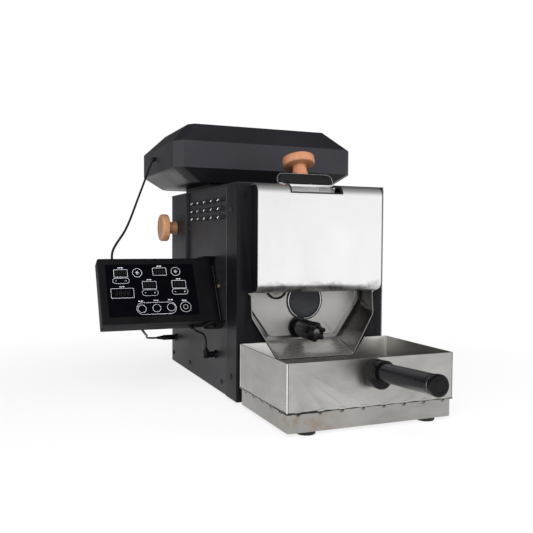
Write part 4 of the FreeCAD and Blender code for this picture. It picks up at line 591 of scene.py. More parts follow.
def discard(piece):
    """Removes a helper object and its mesh."""
    mesh = piece.data
    bpy.data.objects.remove(piece)
    bpy.data.meshes.remove(mesh)


def rounded(piece, width, segments, angle):
    """Rounds the edges of a piece where its faces turn by more than an angle in degrees."""
    bevel = piece.modifiers.new("edges", "BEVEL")
    bevel.width = width
    bevel.segments = segments
    bevel.limit_method = "ANGLE"
    bevel.angle_limit = math.radians(angle)
    bevel.miter_outer = "MITER_ARC"
    bevel.harden_normals = True
    applied(piece)


def packed(node):
    """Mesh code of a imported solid, with its doubles merged."""
    bm = bmesh.new()
    bm.from_mesh(frame["nodes"][node].data)
    bmesh.ops.remove_doubles(bm, verts=bm.verts, dist=0.00001)
    return bm


def softened(node, name, width, coat, segments=2, angle=30.0, whole=False):
    """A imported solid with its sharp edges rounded, which stands for it.

    whole makes its flat faces one again first, where none of them has a hole."""
    bm = packed(node)
    if whole:
        bmesh.ops.dissolve_limit(bm, angle_limit=math.radians(0.6), verts=bm.verts, edges=bm.edges)
    piece = object_from(bm, name, 30.0)
    rounded(piece, width, segments, angle)
    return settle(piece, coat, BODY_OF[node], replaces=(node,))


def carried(coat, *nodes):
    """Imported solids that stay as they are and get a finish."""
    for node in nodes:
        piece = frame["nodes"][node]
        piece.data.materials.clear()
        piece.data.materials.append(coat)


def bridged(bm, low, high):
    """Adds the faces between two rings of as many vertices."""
    for i in range(len(low)):
        after = (i + 1) % len(low)
        bm.faces.new((low[i], low[after], high[after], high[i]))


def turned(profile, origin, axis, steps=None):
    """Mesh code for a turned piece; profile holds (radius, height) pairs in millimetres, end to end."""
    steps = steps or sizes().curve_steps
    turn = axis.to_track_quat("Z", "Y").to_matrix()
    bm = bmesh.new()
    rings = []
    for radius, height in profile:
        if radius < 1e-6:
            rings.append([bm.verts.new(origin + turn @ Vector((0, 0, height * MM)))])
            continue
        ring = []
        for i in range(steps):
            angle = 2 * math.pi * i / steps
            spot = Vector((radius * math.cos(angle), radius * math.sin(angle), height)) * MM
            ring.append(bm.verts.new(origin + turn @ spot))
        rings.append(ring)
    for low, high in zip(rings, rings[1:]):
        for i in range(steps):
            corners = [low[i % len(low)], low[(i + 1) % len(low)], high[(i + 1) % len(high)], high[i % len(high)]]
            unique = list(dict.fromkeys(corners))
            if len(unique) > 2:
                bm.faces.new(unique)
    return bm


def arc(centre, radius, start, end, steps=6):
    """Points of a quarter or other arc for a profile; angles in degrees."""
    return [(centre[0] + radius * math.cos(math.radians(start + (end - start) * i / steps)),
             centre[1] + radius * math.sin(math.radians(start + (end - start) * i / steps)))
            for i in range(steps + 1)]


def swept(path, radius, steps=16):
    """Mesh code for a round tube along points in metres."""
    bm = bmesh.new()
    rings = []
    tangent = (path[1] - path[0]).normalized()
    side = tangent.orthogonal().normalized()
    for index, point in enumerate(path):
        ahead = path[min(index + 1, len(path) - 1)] - path[max(index - 1, 0)]
        turn = tangent.rotation_difference(ahead.normalized())
        tangent = ahead.normalized()
        side = (turn @ side).normalized()
        other = tangent.cross(side)
        rings.append([bm.verts.new(point + (side * math.cos(2 * math.pi * i / steps)
                                            + other * math.sin(2 * math.pi * i / steps)) * radius)
                      for i in range(steps)])
    for low, high in zip(rings, rings[1:]):
        bridged(bm, low, high)
    bm.faces.new(reversed(rings[0]))
    bm.faces.new(rings[-1])
    return bm


def prism(bm, lower, upper):
    """Adds the solid between two matching outlines, as points in metres."""
    low, high = [bm.verts.new(point) for point in lower], [bm.verts.new(point) for point in upper]
    bm.faces.new(reversed(low))
    bm.faces.new(high)
    bridged(bm, low, high)


# ---------------------------------------------------------------- the stage
def aim(spot, target):
    """A matrix at a spot whose -Z looks at a target."""
    look = (target - spot).to_track_quat("-Z", "Y").to_matrix().to_4x4()
    return Matrix.Translation(spot) @ look


def camera_view():
    """Where the camera stands and how it is turned."""
    view = studio()
    yaw, pitch, roll = view.yaw, view.pitch, view.roll
    ahead = Vector((math.sin(yaw) * math.cos(pitch), math.cos(yaw) * math.cos(pitch), -math.sin(pitch)))
    right = Vector((math.cos(yaw), -math.sin(yaw), 0))
    up = right.cross(ahead)
    leaned_right = right * math.cos(roll) + up * math.sin(roll)
    leaned_up = up * math.cos(roll) - right * math.sin(roll)
    turn = Matrix((leaned_right, leaned_up, -ahead)).transposed().to_4x4()
    return Matrix.Translation(at(*CAMERA_SPOT)) @ turn


def lamp(name, spot, target, power, width, height):
    """A rectangular soft lamp that metal and glass don't mirror."""
    data = bpy.data.lights.new(name, "AREA")
    data.shape = "RECTANGLE"
    data.size = width
    data.size_y = height
    data.energy = power
    light = bpy.data.objects.new(name, data)
    bpy.context.scene.collection.objects.link(light)
    light.matrix_world = aim(spot, target)
    light.visible_glossy = False


def floor_finish():
    """A pale matt floor that shows nearly white to the camera and keeps the roaster's soft shadow."""
    recipe = Recipe("floor", studio().floor, 0.0, 0.9)
    recipe.set("Specular IOR Level", 0.1)
    drift = recipe.noise(recipe.space(), 3.0, 2.0)
    recipe.set("Base Color", recipe.blend(drift, shade(studio().floor, 0.985), studio().floor))
    output = recipe.tree.nodes["Material Output"]
    glow = recipe.add("Emission", Color=(1, 1, 1, 1), Strength=1.0)
    rays = recipe.add("LightPath").outputs
    away = recipe.away_from((0, 0, 0))
    fade = recipe.spread(away, 0.28, 0.62, 0.80, 1.0)
    far = recipe.spread(away, 0.20, 1.00, 0.50, 1.0)
    mirrored = recipe.math("MULTIPLY", rays["Is Glossy Ray"], far)
    share = recipe.math("MAXIMUM", recipe.math("MULTIPLY", rays["Is Camera Ray"], fade), mirrored)
    mix = recipe.add("MixShader")
    recipe.feed(mix.inputs[0], share)
    recipe.feed(mix.inputs[1], recipe.shader.outputs[0])
    recipe.feed(mix.inputs[2], glow.outputs[0])
    recipe.feed(output.inputs["Surface"], mix.outputs[0])
    return recipe.material


def backdrop_world():
    """White behind the floor; for the light itself brighter in front and on the left than above and behind."""
    world = bpy.data.worlds.new("studio")
    bpy.context.scene.world = world
    world.use_nodes = True
    nodes = Nodes(world.node_tree)
    path = nodes.add("LightPath").outputs
    way = nodes.add("TexCoord").outputs["Generated"]

    def along(*direction):
        """How far the light's way leans along a direction, from -1 to 1."""
        node = nodes.add("VectorMath", {"operation": "DOT_PRODUCT"}, Vector=way)
        node.inputs[1].default_value = direction
        return node.outputs["Value"]

    soft = nodes.math("ADD", along(-0.08, -0.42, -0.22), studio().ambient, clamp=True)
    upward = nodes.spread(along(0.10, 0.0, 1.0), 0.05, 0.85, studio().mirrored, studio().mirrored * 0.22)
    behind = nodes.spread(along(0.0, 1.0, 0.0), -0.10, 0.45, 1.0, studio().mirrored_behind)
    window = nodes.spread(along(-1.0, 0.0, 0.0), 0.78, 0.90, 1.0, 2.6)
    mirror = nodes.math("MULTIPLY", nodes.math("MULTIPLY", upward, behind), window)
    seen = nodes.math("MAXIMUM", path["Is Camera Ray"], path["Is Transmission Ray"])
    plain = nodes.math("MULTIPLY", nodes.math("SUBTRACT", 1.0, path["Is Glossy Ray"]), soft)
    total = nodes.math("ADD", nodes.math("MULTIPLY", path["Is Glossy Ray"], mirror), plain)
    nodes.feed(nodes.tree.nodes["Background"].inputs["Color"], nodes.math("MAXIMUM", seen, total))


class ROASTER_OT_stage(bpy.types.Operator):
    """Makes the floor, the light and the camera"""
    bl_idname = "roaster.stage"
    bl_label = "Stage and camera"

    def execute(self, context):
        bm = bmesh.new()
        bmesh.ops.create_grid(bm, x_segments=8, y_segments=8, size=6.0)
        floor = made_from(bm, "floor")
        floor.data.transform(Matrix.Translation((0, 0, -0.0002)))
        floor.data.materials.append(floor_finish())
        backdrop_world()
        middle = at(0, 60, 150)
        lamp("key", at(-550, -1100, 800), middle, studio().key_power, 1.1, 1.1)
        lamp("fill", at(1000, -700, 500), middle, studio().fill_power, 1.0, 1.2)
        lamp("top", at(0, 100, 1300), middle, studio().top_power, 1.6, 1.2)
        data = bpy.data.cameras.new("camera")
        data.lens = studio().lens
        data.sensor_width = 36.0
        data.clip_start, data.clip_end = 0.01, 50.0
        camera = bpy.data.objects.new("camera", data)
        context.scene.collection.objects.link(camera)
        camera.matrix_world = camera_view()
        context.scene.camera = camera
        context.scene.view_settings.view_transform = "Standard"
        return {"FINISHED"}


# ---------------------------------------------------------------- cables
HOOD_ROUTE = [(-142.98, 259.63, 311.77), (-146.70, 257.27, 303.92), (-152.5, 248.2, 292.3), (-164, 226.5, 272),
              (-178.5, 197, 248), (-193, 165.5, 224), (-205, 142, 207), (-215, 125.5, 196.5), (-222, 113.5, 189.5),
              (-227, 105.5, 182.5), (-229, 102.466, 175.600), (-229, 99.234, 169.391)]
REAR_ROUTE = [(-129.8, 282, 43), (-143.8, 282, 43), (-150, 266, 47.5), (-155.5, 237, 53), (-163.5, 200, 59.5),
              (-173.5, 160, 66.5), (-183.5, 121, 73.8), (-191.5, 94, 81), (-197, 81.380, 86.690),
              (-197, 72.510, 91.308)]
SIDE_ROUTE = [(-112.5, 82, 57), (-112.5, 82, 66.5), (-116.5, 76, 74.5), (-123, 69.5, 79),
              (-132.746, 61.158, 82.331), (-137.362, 59.060, 87.157)]


def route_line(name, route):
    """The points of the smooth line whose control points are a route's."""
    curve = bpy.data.curves.new(name, "CURVE")
    curve.dimensions = "3D"
    curve.resolution_u = 12
    spline = curve.splines.new("NURBS")
    spline.points.add(len(route) - 1)
    for point, place in zip(spline.points, route):
        point.co = (*at(*place), 1.0)
    spline.order_u = 3
    spline.use_endpoint_u = True
    guide = object_of(name, curve)
    graph = bpy.context.evaluated_depsgraph_get()
    line = bpy.data.meshes.new_from_object(guide.evaluated_get(graph), depsgraph=graph)
    points = [vertex.co.copy() for vertex in line.vertices]
    bpy.data.objects.remove(guide)
    bpy.data.curves.remove(curve)
    bpy.data.meshes.remove(line)
    return points


def cable(name, node, route, jacket):
    """One signal cable, swept along its route."""
    line = route_line(name + "_line", route)
    thick = sizes().cable_diameter
    piece = made_from(swept(line, thick / 2), name, 50.0)
    piece.data.materials.append(jacket)
    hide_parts(node)
    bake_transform(piece)


class ROASTER_OT_cables(bpy.types.Operator):
    """Makes the three signal cables between the hood, the cabinet and the control panel"""
    bl_idname = "roaster.cables"
    bl_label = "Signal cables"

    def execute(self, context):
        jacket = finish("cable_jacket")
        cable("hood_cable", "cable_hood", HOOD_ROUTE, jacket)
        cable("rear_cable", "cable_rear", REAR_ROUTE, jacket)
        cable("side_cable", "cable_side", SIDE_ROUTE, jacket)
        return {"FINISHED"}


# ---------------------------------------------------------------- what repeats
def islands(node):
    """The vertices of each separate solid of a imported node, as lists of points."""
    bm = packed(node)
    seen, groups = set(), []
    for start in bm.verts:
        if start in seen:
            continue
        seen.add(start)
        stack, points = [start], []
        while stack:
            vert = stack.pop()
            points.append(vert.co.copy())
            for edge in vert.link_edges:
                other = edge.other_vert(vert)
                if other not in seen:
                    seen.add(other)
                    stack.append(other)
        groups.append(points)
    bm.free()
    return groups


def span(points):
    """Lowest and highest corner of some points."""
    return (Vector([min(p[i] for p in points) for i in range(3)]),
            Vector([max(p[i] for p in points) for i in range(3)]))


def repeat_tree():
    """Geometry Nodes that set copies of a head on points, each with its Z along the point's own way."""
    tree = bpy.data.node_groups.new("set_heads", "GeometryNodeTree")
    face = tree.interface
    face.new_socket("Geometry", in_out="INPUT", socket_type="NodeSocketGeometry")
    for name, kind, value in (("Head", "Object", None), ("Size", "Float", 1.0), ("Spin", "Float", 0.0),
                              ("Seed", "Int", 7), ("Finish", "Material", None)):
        socket = face.new_socket(name, in_out="INPUT", socket_type="NodeSocket" + kind)
        if value is not None:
            socket.default_value = value
    face.new_socket("Geometry", in_out="OUTPUT", socket_type="NodeSocketGeometry")

    node = tree.nodes.new
    given, result = node("NodeGroupInput"), node("NodeGroupOutput")
    head = node("GeometryNodeObjectInfo")
    way = node("GeometryNodeInputNamedAttribute")
    way.data_type = "FLOAT_VECTOR"
    way.inputs["Name"].default_value = "way"
    turn = node("FunctionNodeAlignRotationToVector")
    turn.axis = "Z"
    copies = node("GeometryNodeInstanceOnPoints")
    chance = node("FunctionNodeRandomValue")
    chance.data_type = "FLOAT_VECTOR"
    amount = node("ShaderNodeCombineXYZ")
    spun = node("GeometryNodeRotateInstances")
    whole = node("GeometryNodeRealizeInstances")
    coat = node("GeometryNodeSetMaterial")
    for source, output, target, socket in (
            (given, "Head", head, "Object"), (way, "Attribute", turn, "Vector"),
            (given, "Geometry", copies, "Points"), (head, "Geometry", copies, "Instance"),
            (turn, "Rotation", copies, "Rotation"), (given, "Size", copies, "Scale"),
            (given, "Spin", amount, "Z"), (amount, "Vector", chance, 1), (given, "Seed", chance, "Seed"),
            (copies, "Instances", spun, "Instances"), (chance, 0, spun, "Rotation"),
            (spun, "Instances", whole, "Geometry"), (whole, "Geometry", coat, "Geometry"),
            (given, "Finish", coat, "Material"), (coat, "Geometry", result, "Geometry")):
        tree.links.new(source.outputs[output], target.inputs[socket])
    return tree


def repeated(name, head, spots, coat, body, slot=None, replaces=(), spin=0.0, angle=30.0):
    """Copies of a head set on spots by Geometry Nodes; each spot is a place and the way its Z points."""
    mesh = bpy.data.meshes.new(name)
    mesh.from_pydata([place for place, way in spots], [], [])
    ways = mesh.attributes.new("way", "FLOAT_VECTOR", "POINT")
    for item, (place, way) in zip(ways.data, spots):
        item.vector = way
    piece = object_of(name, mesh)
    tree = bpy.data.node_groups.get("set_heads") or repeat_tree()
    setter = piece.modifiers.new("heads", "NODES")
    setter.node_group = tree
    sockets = {item.name: item.identifier for item in tree.interface.items_tree if item.in_out == "INPUT"}
    for socket, value in (("Head", head), ("Size", 1.0), ("Spin", spin), ("Seed", 7), ("Finish", coat)):
        setter[sockets[socket]] = value
    applied(piece, angle)
    discard(head)
    return settle(piece, coat, body, slot, replaces)


def feet(node, name, body, radius, height, flat):
    """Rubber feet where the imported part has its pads; flat is the radius of the ground face."""
    spots = [((low + high) / 2 - Z * (high.z - low.z) / 2, Z) for low, high in map(span, islands(node))]
    profile = [(0, 0), (flat, 0)] + arc((radius - 0.8, 0.8), 0.8, -90, 0, 3) + [(radius, height), (0, height)]
    repeated(name, made_from(turned(profile, Vector(), Z, 40), "foot"), spots, finish("rubber"), body,
             SLOT_OF[node], (node,))


def screw_head(radius, height):
    """A pan head with a cross recess."""
    crown = height * 0.55
    profile = [(0, 0), (radius, 0), (radius, height - crown)]
    profile += arc((radius - crown, height - crown), crown, 0, 80, 4) + [(radius * 0.45, height), (0, height)]
    piece = made_from(turned(profile, Vector(), Z, 24), "head")
    bm = bmesh.new()
    for turn in (0, math.pi / 2):
        arm = Matrix.Diagonal((radius * 1.2 * MM, radius * 0.24 * MM, height * MM, 1))
        seat = Matrix.Translation((0, 0, height * 0.95 * MM))
        bmesh.ops.create_cube(bm, size=1.0, matrix=seat @ Matrix.Rotation(turn, 4, "Z") @ arm)
    recess = made_from(bm, "recess")
    cutter = piece.modifiers.new("recess", "BOOLEAN")
    cutter.operation = "DIFFERENCE"
    cutter.solver = "EXACT"
    cutter.use_self = True
    cutter.object = recess
    applied(piece)
    discard(recess)
    return piece


class ROASTER_OT_screws(bpy.types.Operator):
    """Sets the cabinet's pan-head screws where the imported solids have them"""
    bl_idname = "roaster.screws"
    bl_label = "Cabinet screws"

    def execute(self, context):
        plain, front, yellow = [], [], []
        inside = at(0, 150, 130)
        for points in islands("cabinet_screws"):
            low, high = span(points)
            middle, size = (low + high) / 2, high - low
            axis = min(range(3), key=lambda i: size[i])
            outward = 1.0 if middle[axis] > inside[axis] else -1.0
            way = Vector([outward if i == axis else 0.0 for i in range(3)])
            seat = middle - way * size[axis] / 2
            beside_panel = (seat - at(*PANEL_SIDE_SCREW)).length < 2 * MM
            in_front = axis == 1 and outward < 0
            (yellow if beside_panel else front if in_front else plain).append((seat, way))
        for name, spots, coat, stands_for, spin in (
                ("cabinet_screw_heads", plain, "screw_paint", ("cabinet_screws",), 2.6),
                ("front_screw_heads", front, "frame_paint", (), 1.1),
                ("panel_side_screw_head", yellow, "brass", (), 0.4)):
            repeated(name, screw_head(3.2, 1.4), spots, finish(coat), "cabinet", SLOT_OF["cabinet_screws"],
                     stands_for, spin=spin)
        return {"FINISHED"}


def louvre_glint():
    """A painted highlight at the end of a louvre, in near-white: a small wedge with a rounded nose."""
    bm = bmesh.new()
    outline = [(-0.2, -2.4), (3.2, -2.4), (3.4, -1.9), (3.1, -1.2), (1.4, 0.6), (-0.2, 0.8)]
    prism(bm, *[[Vector((x, y, z)) * MM for x, z in outline] for y in (-0.9, 0.9)])
    return made_from(bm, "lip")


class ROASTER_OT_cabinet(bpy.types.Operator):
    """Finishes the folded sheets of the cabinet, its louvres and its feet"""
    bl_idname = "roaster.cabinet"
    bl_label = "Cabinet sheets"

    def execute(self, context):
        edge = sizes().sheet_edge
        carried(finish("cabinet_paint"), "side_panel_left", "side_panel_right", "rear_panel", "base_pan",
                "top_panel")
        for node, name, coat in (("front_frame", "folded_front_frame", "frame_paint"),
                                 ("duct_cover", "raised_duct_cover", "cabinet_paint"),
                                 ("exhaust_neck", "folded_neck", "cabinet_paint"),
                                 ("cover_cheeks", "cover_side_cheeks", "frame_paint")):
            softened(node, name, edge, finish(coat))
        self.folds()
        self.louvres()
        feet("cabinet_pads", "cabinet_feet", "cabinet", 11, 3, 9.6)
        return {"FINISHED"}

    def folds(self):
        """A painted highlight along the rear fold and the black front fold of the frame, on both sides."""
        low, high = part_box("front_frame")
        depth = 0.2 * MM
        for side, x in (("left", low.x + depth), ("right", high.x - depth)):
            # The rear line is a painted highlight on the fold.
            for place, y, coat in (("rear", high.y - depth, "worn_paint"), ("front", low.y + depth, "edge_black")):
                ends = [Vector((x, y, z)) for z in (low.z + MM, high.z - MM)]
                line = [ends[0].lerp(ends[1], i / 24) for i in range(25)]
                fold = made_from(swept(line, 0.32 * MM, 8), "frame_%s_fold_%s" % (place, side), 50.0)
                settle(fold, finish(coat), "cabinet", "dark_paint")

    def louvres(self):
        """Painted highlights at the ends of the louvres on the left, made for the right and mirrored on the
        panel's face.
        """
        spots = [(at(SIDE_FACE, 69.0 + 30.0 * column, row), Z) for row in (226.0, 237.0, 248.0)
                 for column in range(5)]
        glints = repeated("louvre_ends_left", louvre_glint(), spots, finish("bare_edge"), "cabinet", "dark_paint")
        face = at(SIDE_FACE, 0, 0)
        glints.data.transform(Matrix.Translation(face) @ Matrix.Diagonal((-1, 1, 1, 1)) @ Matrix.Translation(-face))
        glints.data.flip_normals()


class ROASTER_OT_hood(bpy.types.Operator):
    """Finishes the bevelled exhaust hood"""
    bl_idname = "roaster.hood"
    bl_label = "Exhaust hood"

    def execute(self, context):
        softened("hood_tray", "hood_lower_shell", sizes().sheet_edge, finish("hood_low_paint"), 2)
        softened("hood_lid", "hood_upper_shell", sizes().fold_edge, finish("hood_paint"), 4, whole=True)
        return {"FINISHED"}


class ROASTER_OT_cover(bpy.types.Operator):
    """Finishes the front cover and the edging of its bean inlet"""
    bl_idname = "roaster.cover"
    bl_label = "Front cover"

    def execute(self, context):
        softened("front_cover", "satin_front_cover", sizes().sheet_edge, finish("cover_steel"), 3, 40.0)
        softened("inlet_trim", "inlet_edging", sizes().sheet_edge, finish("rubber"), 3)
        return {"FINISHED"}


class ROASTER_OT_inlet(bpy.types.Operator):
    """Finishes the bean inlet: hopper, hinged lid and hinge"""
    bl_idname = "roaster.inlet"
    bl_label = "Bean inlet"

    def execute(self, context):
        edge = sizes().sheet_edge
        softened("inlet_hopper", "inlet_funnel", edge, finish("inlet_steel"))
        softened("inlet_lid", "inlet_hinged_lid", edge, finish("lid_steel"), 3)
        softened("lid_hinge", "inlet_hinge", edge, finish("ring_steel"))
        softened("lid_knob_screw", "inlet_knob_screw", edge, finish("zinc"))
        self.bead()
        return {"FINISHED"}

    def bead(self):
        """A rolled edge round the lid's apron in brighter steel, as a painted highlight, and the screw in the
        apron's middle.
        """
        tilt = Matrix.Rotation(-LID_SLOPE, 3, "X")

        def placed(x, y, z):
            """A point of the closed lid's own frame."""
            return at(*LID_HINGE) + (tilt @ Vector((x, y, z))) * MM

        right = arc((29.75, -9.5), 8.0, 90, 0, 8) + [(37.75, -13.3)]
        line = [(-x, z) for x, z in reversed(right)] + right
        # Painted highlight: a thin tube of brighter steel along the apron's edge.
        roll = made_from(swept([placed(x, -31.1, z) for x, z in line], 0.45 * MM, 12), "inlet_apron_bead", 50.0)
        settle(roll, finish("bead_steel"), "lid", "brushed_stainless")
        out = (placed(0, -1, 0) - placed(0, 0, 0)).normalized()
        repeated("inlet_apron_screw", screw_head(1.9, 0.7), [(placed(0, -31.0, -5.2), out)],
                 finish("black_screw"), "lid", "zinc_screws", spin=0.5)


def knob_profile(shank):
    """The section of a turned knob with its bolt hole closed by a plug, from the foot to the crown."""
    top = shank + 11.5
    flare = [(10.3 - 1.5 * math.sin(math.pi / 2 * i / 6), shank * i / 6) for i in range(7)]
    rim = arc((18.0, shank + 2.5), 2.5, -90, 0, 5) + arc((18.0, top - 2.5), 2.5, 0, 90, 5)
    groove = [(17.0, top), (16.6, top - 0.15), (16.2, top)]
    return [(0, 0)] + flare + rim + groove + [(9.0, top + 0.05), (0, top)]


class ROASTER_OT_wood(bpy.types.Operator):
    """Turns the two wooden knobs"""
    bl_idname = "roaster.wood"
    bl_label = "Wooden knobs"

    def execute(self, context):
        up = Vector((0, math.sin(LID_SLOPE), math.cos(LID_SLOPE)))
        back = Vector((0, math.cos(LID_SLOPE), -math.sin(LID_SLOPE)))
        foot = at(*LID_HINGE) + (back * -20.0 + up * -1.5) * MM
        knob = made_from(turned(knob_profile(16.0), foot, up), "lid_turned_knob", 40.0)
        settle(knob, finish("wood_of_lid"), "lid", replaces=("lid_knob",))
        knob = made_from(turned(knob_profile(13.0), at(-104.2, 264, 214), -X), "damper_turned_knob", 40.0)
        settle(knob, finish("wood_of_damper"), "damper", replaces=("damper_knob",))
        return {"FINISHED"}


def round_face(low, high):
    """The middle of a round piece's rear face, and its radius and thickness in millimetres."""
    centre = Vector(((low.x + high.x) / 2, high.y, (low.z + high.z) / 2))
    return centre, (high.x - low.x) / 2 / MM, (high.y - low.y) / MM


class ROASTER_OT_discharge(bpy.types.Operator):
    """Finishes the discharge pocket, the drum door with its window, and the latch knob"""
    bl_idname = "roaster.discharge"
    bl_label = "Discharge pocket and door"

    def execute(self, context):
        edge = sizes().sheet_edge
        softened("discharge_pocket", "folded_pocket", edge, finish("pocket_steel"))
        softened("drum_door", "hinged_drum_door", edge * 1.6, finish("door_steel"), 3)
        softened("probe_port", "probe_bush", edge * 1.2, finish("port_steel"), 3)
        softened("latch_spindle", "latch_bright_spindle", edge, finish("spindle_steel"), 3)
        softened("star_knob", "latch_star_knob", 0.6 * MM, finish("knob_black"), 3, 28.0)
        self.window()
        centre, wide, thick = round_face(*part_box("probe_port"))
        self.gasket("probe_bush_seal", centre, wide - 1.2, wide + 1.0, 0.0, thick + 0.3)
        self.flange_ribs()
        return {"FINISHED"}

    def window(self):
        """The turned ring and the domed pane of the sight glass, with a gasket round each."""
        centre, full, rise = round_face(*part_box("sight_ring"))
        outer, bore = full - 1.3, full - 3.4
        profile = ([(bore, 0), (outer, 0)] + arc((outer - 0.6, rise - 0.6), 0.6, 0, 90, 4)
                   + arc((bore + 0.9, rise - 0.5), 0.5, 90, 180, 4) + [(bore, 0)])
        ring = made_from(turned(profile, centre, -Y, 96), "turned_sight_ring")
        settle(ring, finish("ring_steel"), "door", replaces=("sight_ring",))
        self.gasket("sight_outer_gasket", centre, outer - 0.2, full, 0.0, rise - 0.6)
        centre, wide, thick = round_face(*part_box("sight_glass"))
        profile = [(0, 0), (wide, 0)] + arc((wide - 0.4, thick - 0.4), 0.4, 0, 80, 3)
        profile += [(wide - 6, thick + 0.12), (0, thick + 0.25)]
        pane = made_from(turned(profile, centre, -Y, 96), "domed_sight_glass", 50.0)
        settle(pane, finish("sight_glass"), "door", replaces=("sight_glass",))
        self.gasket("sight_inner_gasket", centre, wide - 1.2, wide, thick - 0.5, thick + 0.3)

    def gasket(self, name, centre, inner, outer, low, high):
        """A flat black ring on the door."""
        profile = [(inner, low), (outer, low), (outer, high - 0.15), (outer - 0.15, high), (inner + 0.15, high),
                   (inner, high - 0.15), (inner, low)]
        ring = made_from(turned(profile, centre, -Y, 96), name)
        settle(ring, finish("rubber"), "door", "black_rubber")

    def flange_ribs(self):
        """Fine grip ribs round the latch knob's flange."""
        rib = bmesh.new()
        corners = ((-1.5, -0.5), (1.5, -0.5), (1.5, 0.5), (-1.5, 0.5))
        prism(rib, [Vector((x, y, -0.6)) * MM for x, y in corners],
              [Vector((x * 0.85, y * 0.4, 0.35)) * MM for x, y in corners])
        ribs, radius = 36, 13.2
        spots = []
        for i in range(ribs):
            angle = 2 * math.pi * i / ribs
            way = Vector((math.cos(angle), 0, math.sin(angle)))
            spots.append((at(*LATCH_FLANGE) + way * radius * MM, way))
        repeated("latch_flange_ribs", made_from(rib, "rib"), spots, finish("knob_black"), "latch", "black_plastic")


# ---------------------------------------------------------------- control panel
def panel_at(x, y, z):
    """A point of the control panel's own frame, upright with its swivel axis on Z, in the part's frame."""
    return at(*PANEL_PIVOT) + (Matrix.Rotation(PANEL_LEAN, 3, "X") @ Vector((x, y, z))) * MM


def rounded_box(x, z, width, height, corner, steps=6):
    """Outline of a rounded rectangle round a middle, in the panel's plane."""
    points = []
    corner = min(corner, width / 2, height / 2)
    for quarter, (sx, sz) in enumerate(((1, 1), (-1, 1), (-1, -1), (1, -1))):
        cx, cz = x + sx * (width / 2 - corner), z + sz * (height / 2 - corner)
        for i in range(steps + 1):
            angle = math.pi / 2 * (quarter + i / steps)
            points.append((cx + corner * math.cos(angle), cz + corner * math.sin(angle)))
    return points


def raised(bm, outer, inner, low, high):
    """A flat printed line between two outlines, raised a little above the pane."""
    def ring(points, y):
        """The corners of an outline at a depth."""
        return [bm.verts.new(panel_at(px, y, pz)) for px, pz in points]

    rings = [ring(outer, low), ring(outer, high), ring(inner, high), ring(inner, low)]
    for first, second in zip(rings, rings[1:] + rings[:1]):
        bridged(bm, first, second)


def printed_patch(bm, x, z, width, height, corner, low, high):
    """A printed bar, raised a little above the pane."""
    points = rounded_box(x, z, width, height, corner, 3)
    prism(bm, *[[panel_at(px, y, pz) for px, pz in points] for y in (low, high)])


# windows: middle, width, height and how many unlit digits; keys: middle, width, height of a rounded outline
WINDOWS = [(-109.7, 66.2, 16.8, 10.4, 3), (-61.6, 67.9, 17.5, 10.5, 3), (-109.5, 40.0, 27.6, 12.9, 4),
           (-75.9, 49.9, 17.5, 10.3, 3), (-38.9, 50.3, 17.9, 10.6, 3)]
KEYS = [(-110.0, 56.3, 20.2, 7.6), (-75.9, 39.8, 20.1, 8.2), (-38.5, 40.5, 20.4, 7.8), (-70.1, 19.3, 48.9, 15.6)]
DIALS = [(-89.5, 66.7, 5.9), (-41.2, 67.9, 5.9), (-87.9, 19.1, 5.1), (-70.0, 19.5, 5.1), (-52.0, 20.0, 5.1),
         (-33.9, 19.9, 6.9), (-33.9, 19.9, 3.0)]
LABELS = [(-109.7, 73.6), (-61.6, 75.4), (-109.5, 48.4), (-75.9, 57.0), (-38.9, 57.6), (-89.0, 28.9),
          (-70.0, 29.4), (-52.0, 29.8), (-35.0, 28.6)]


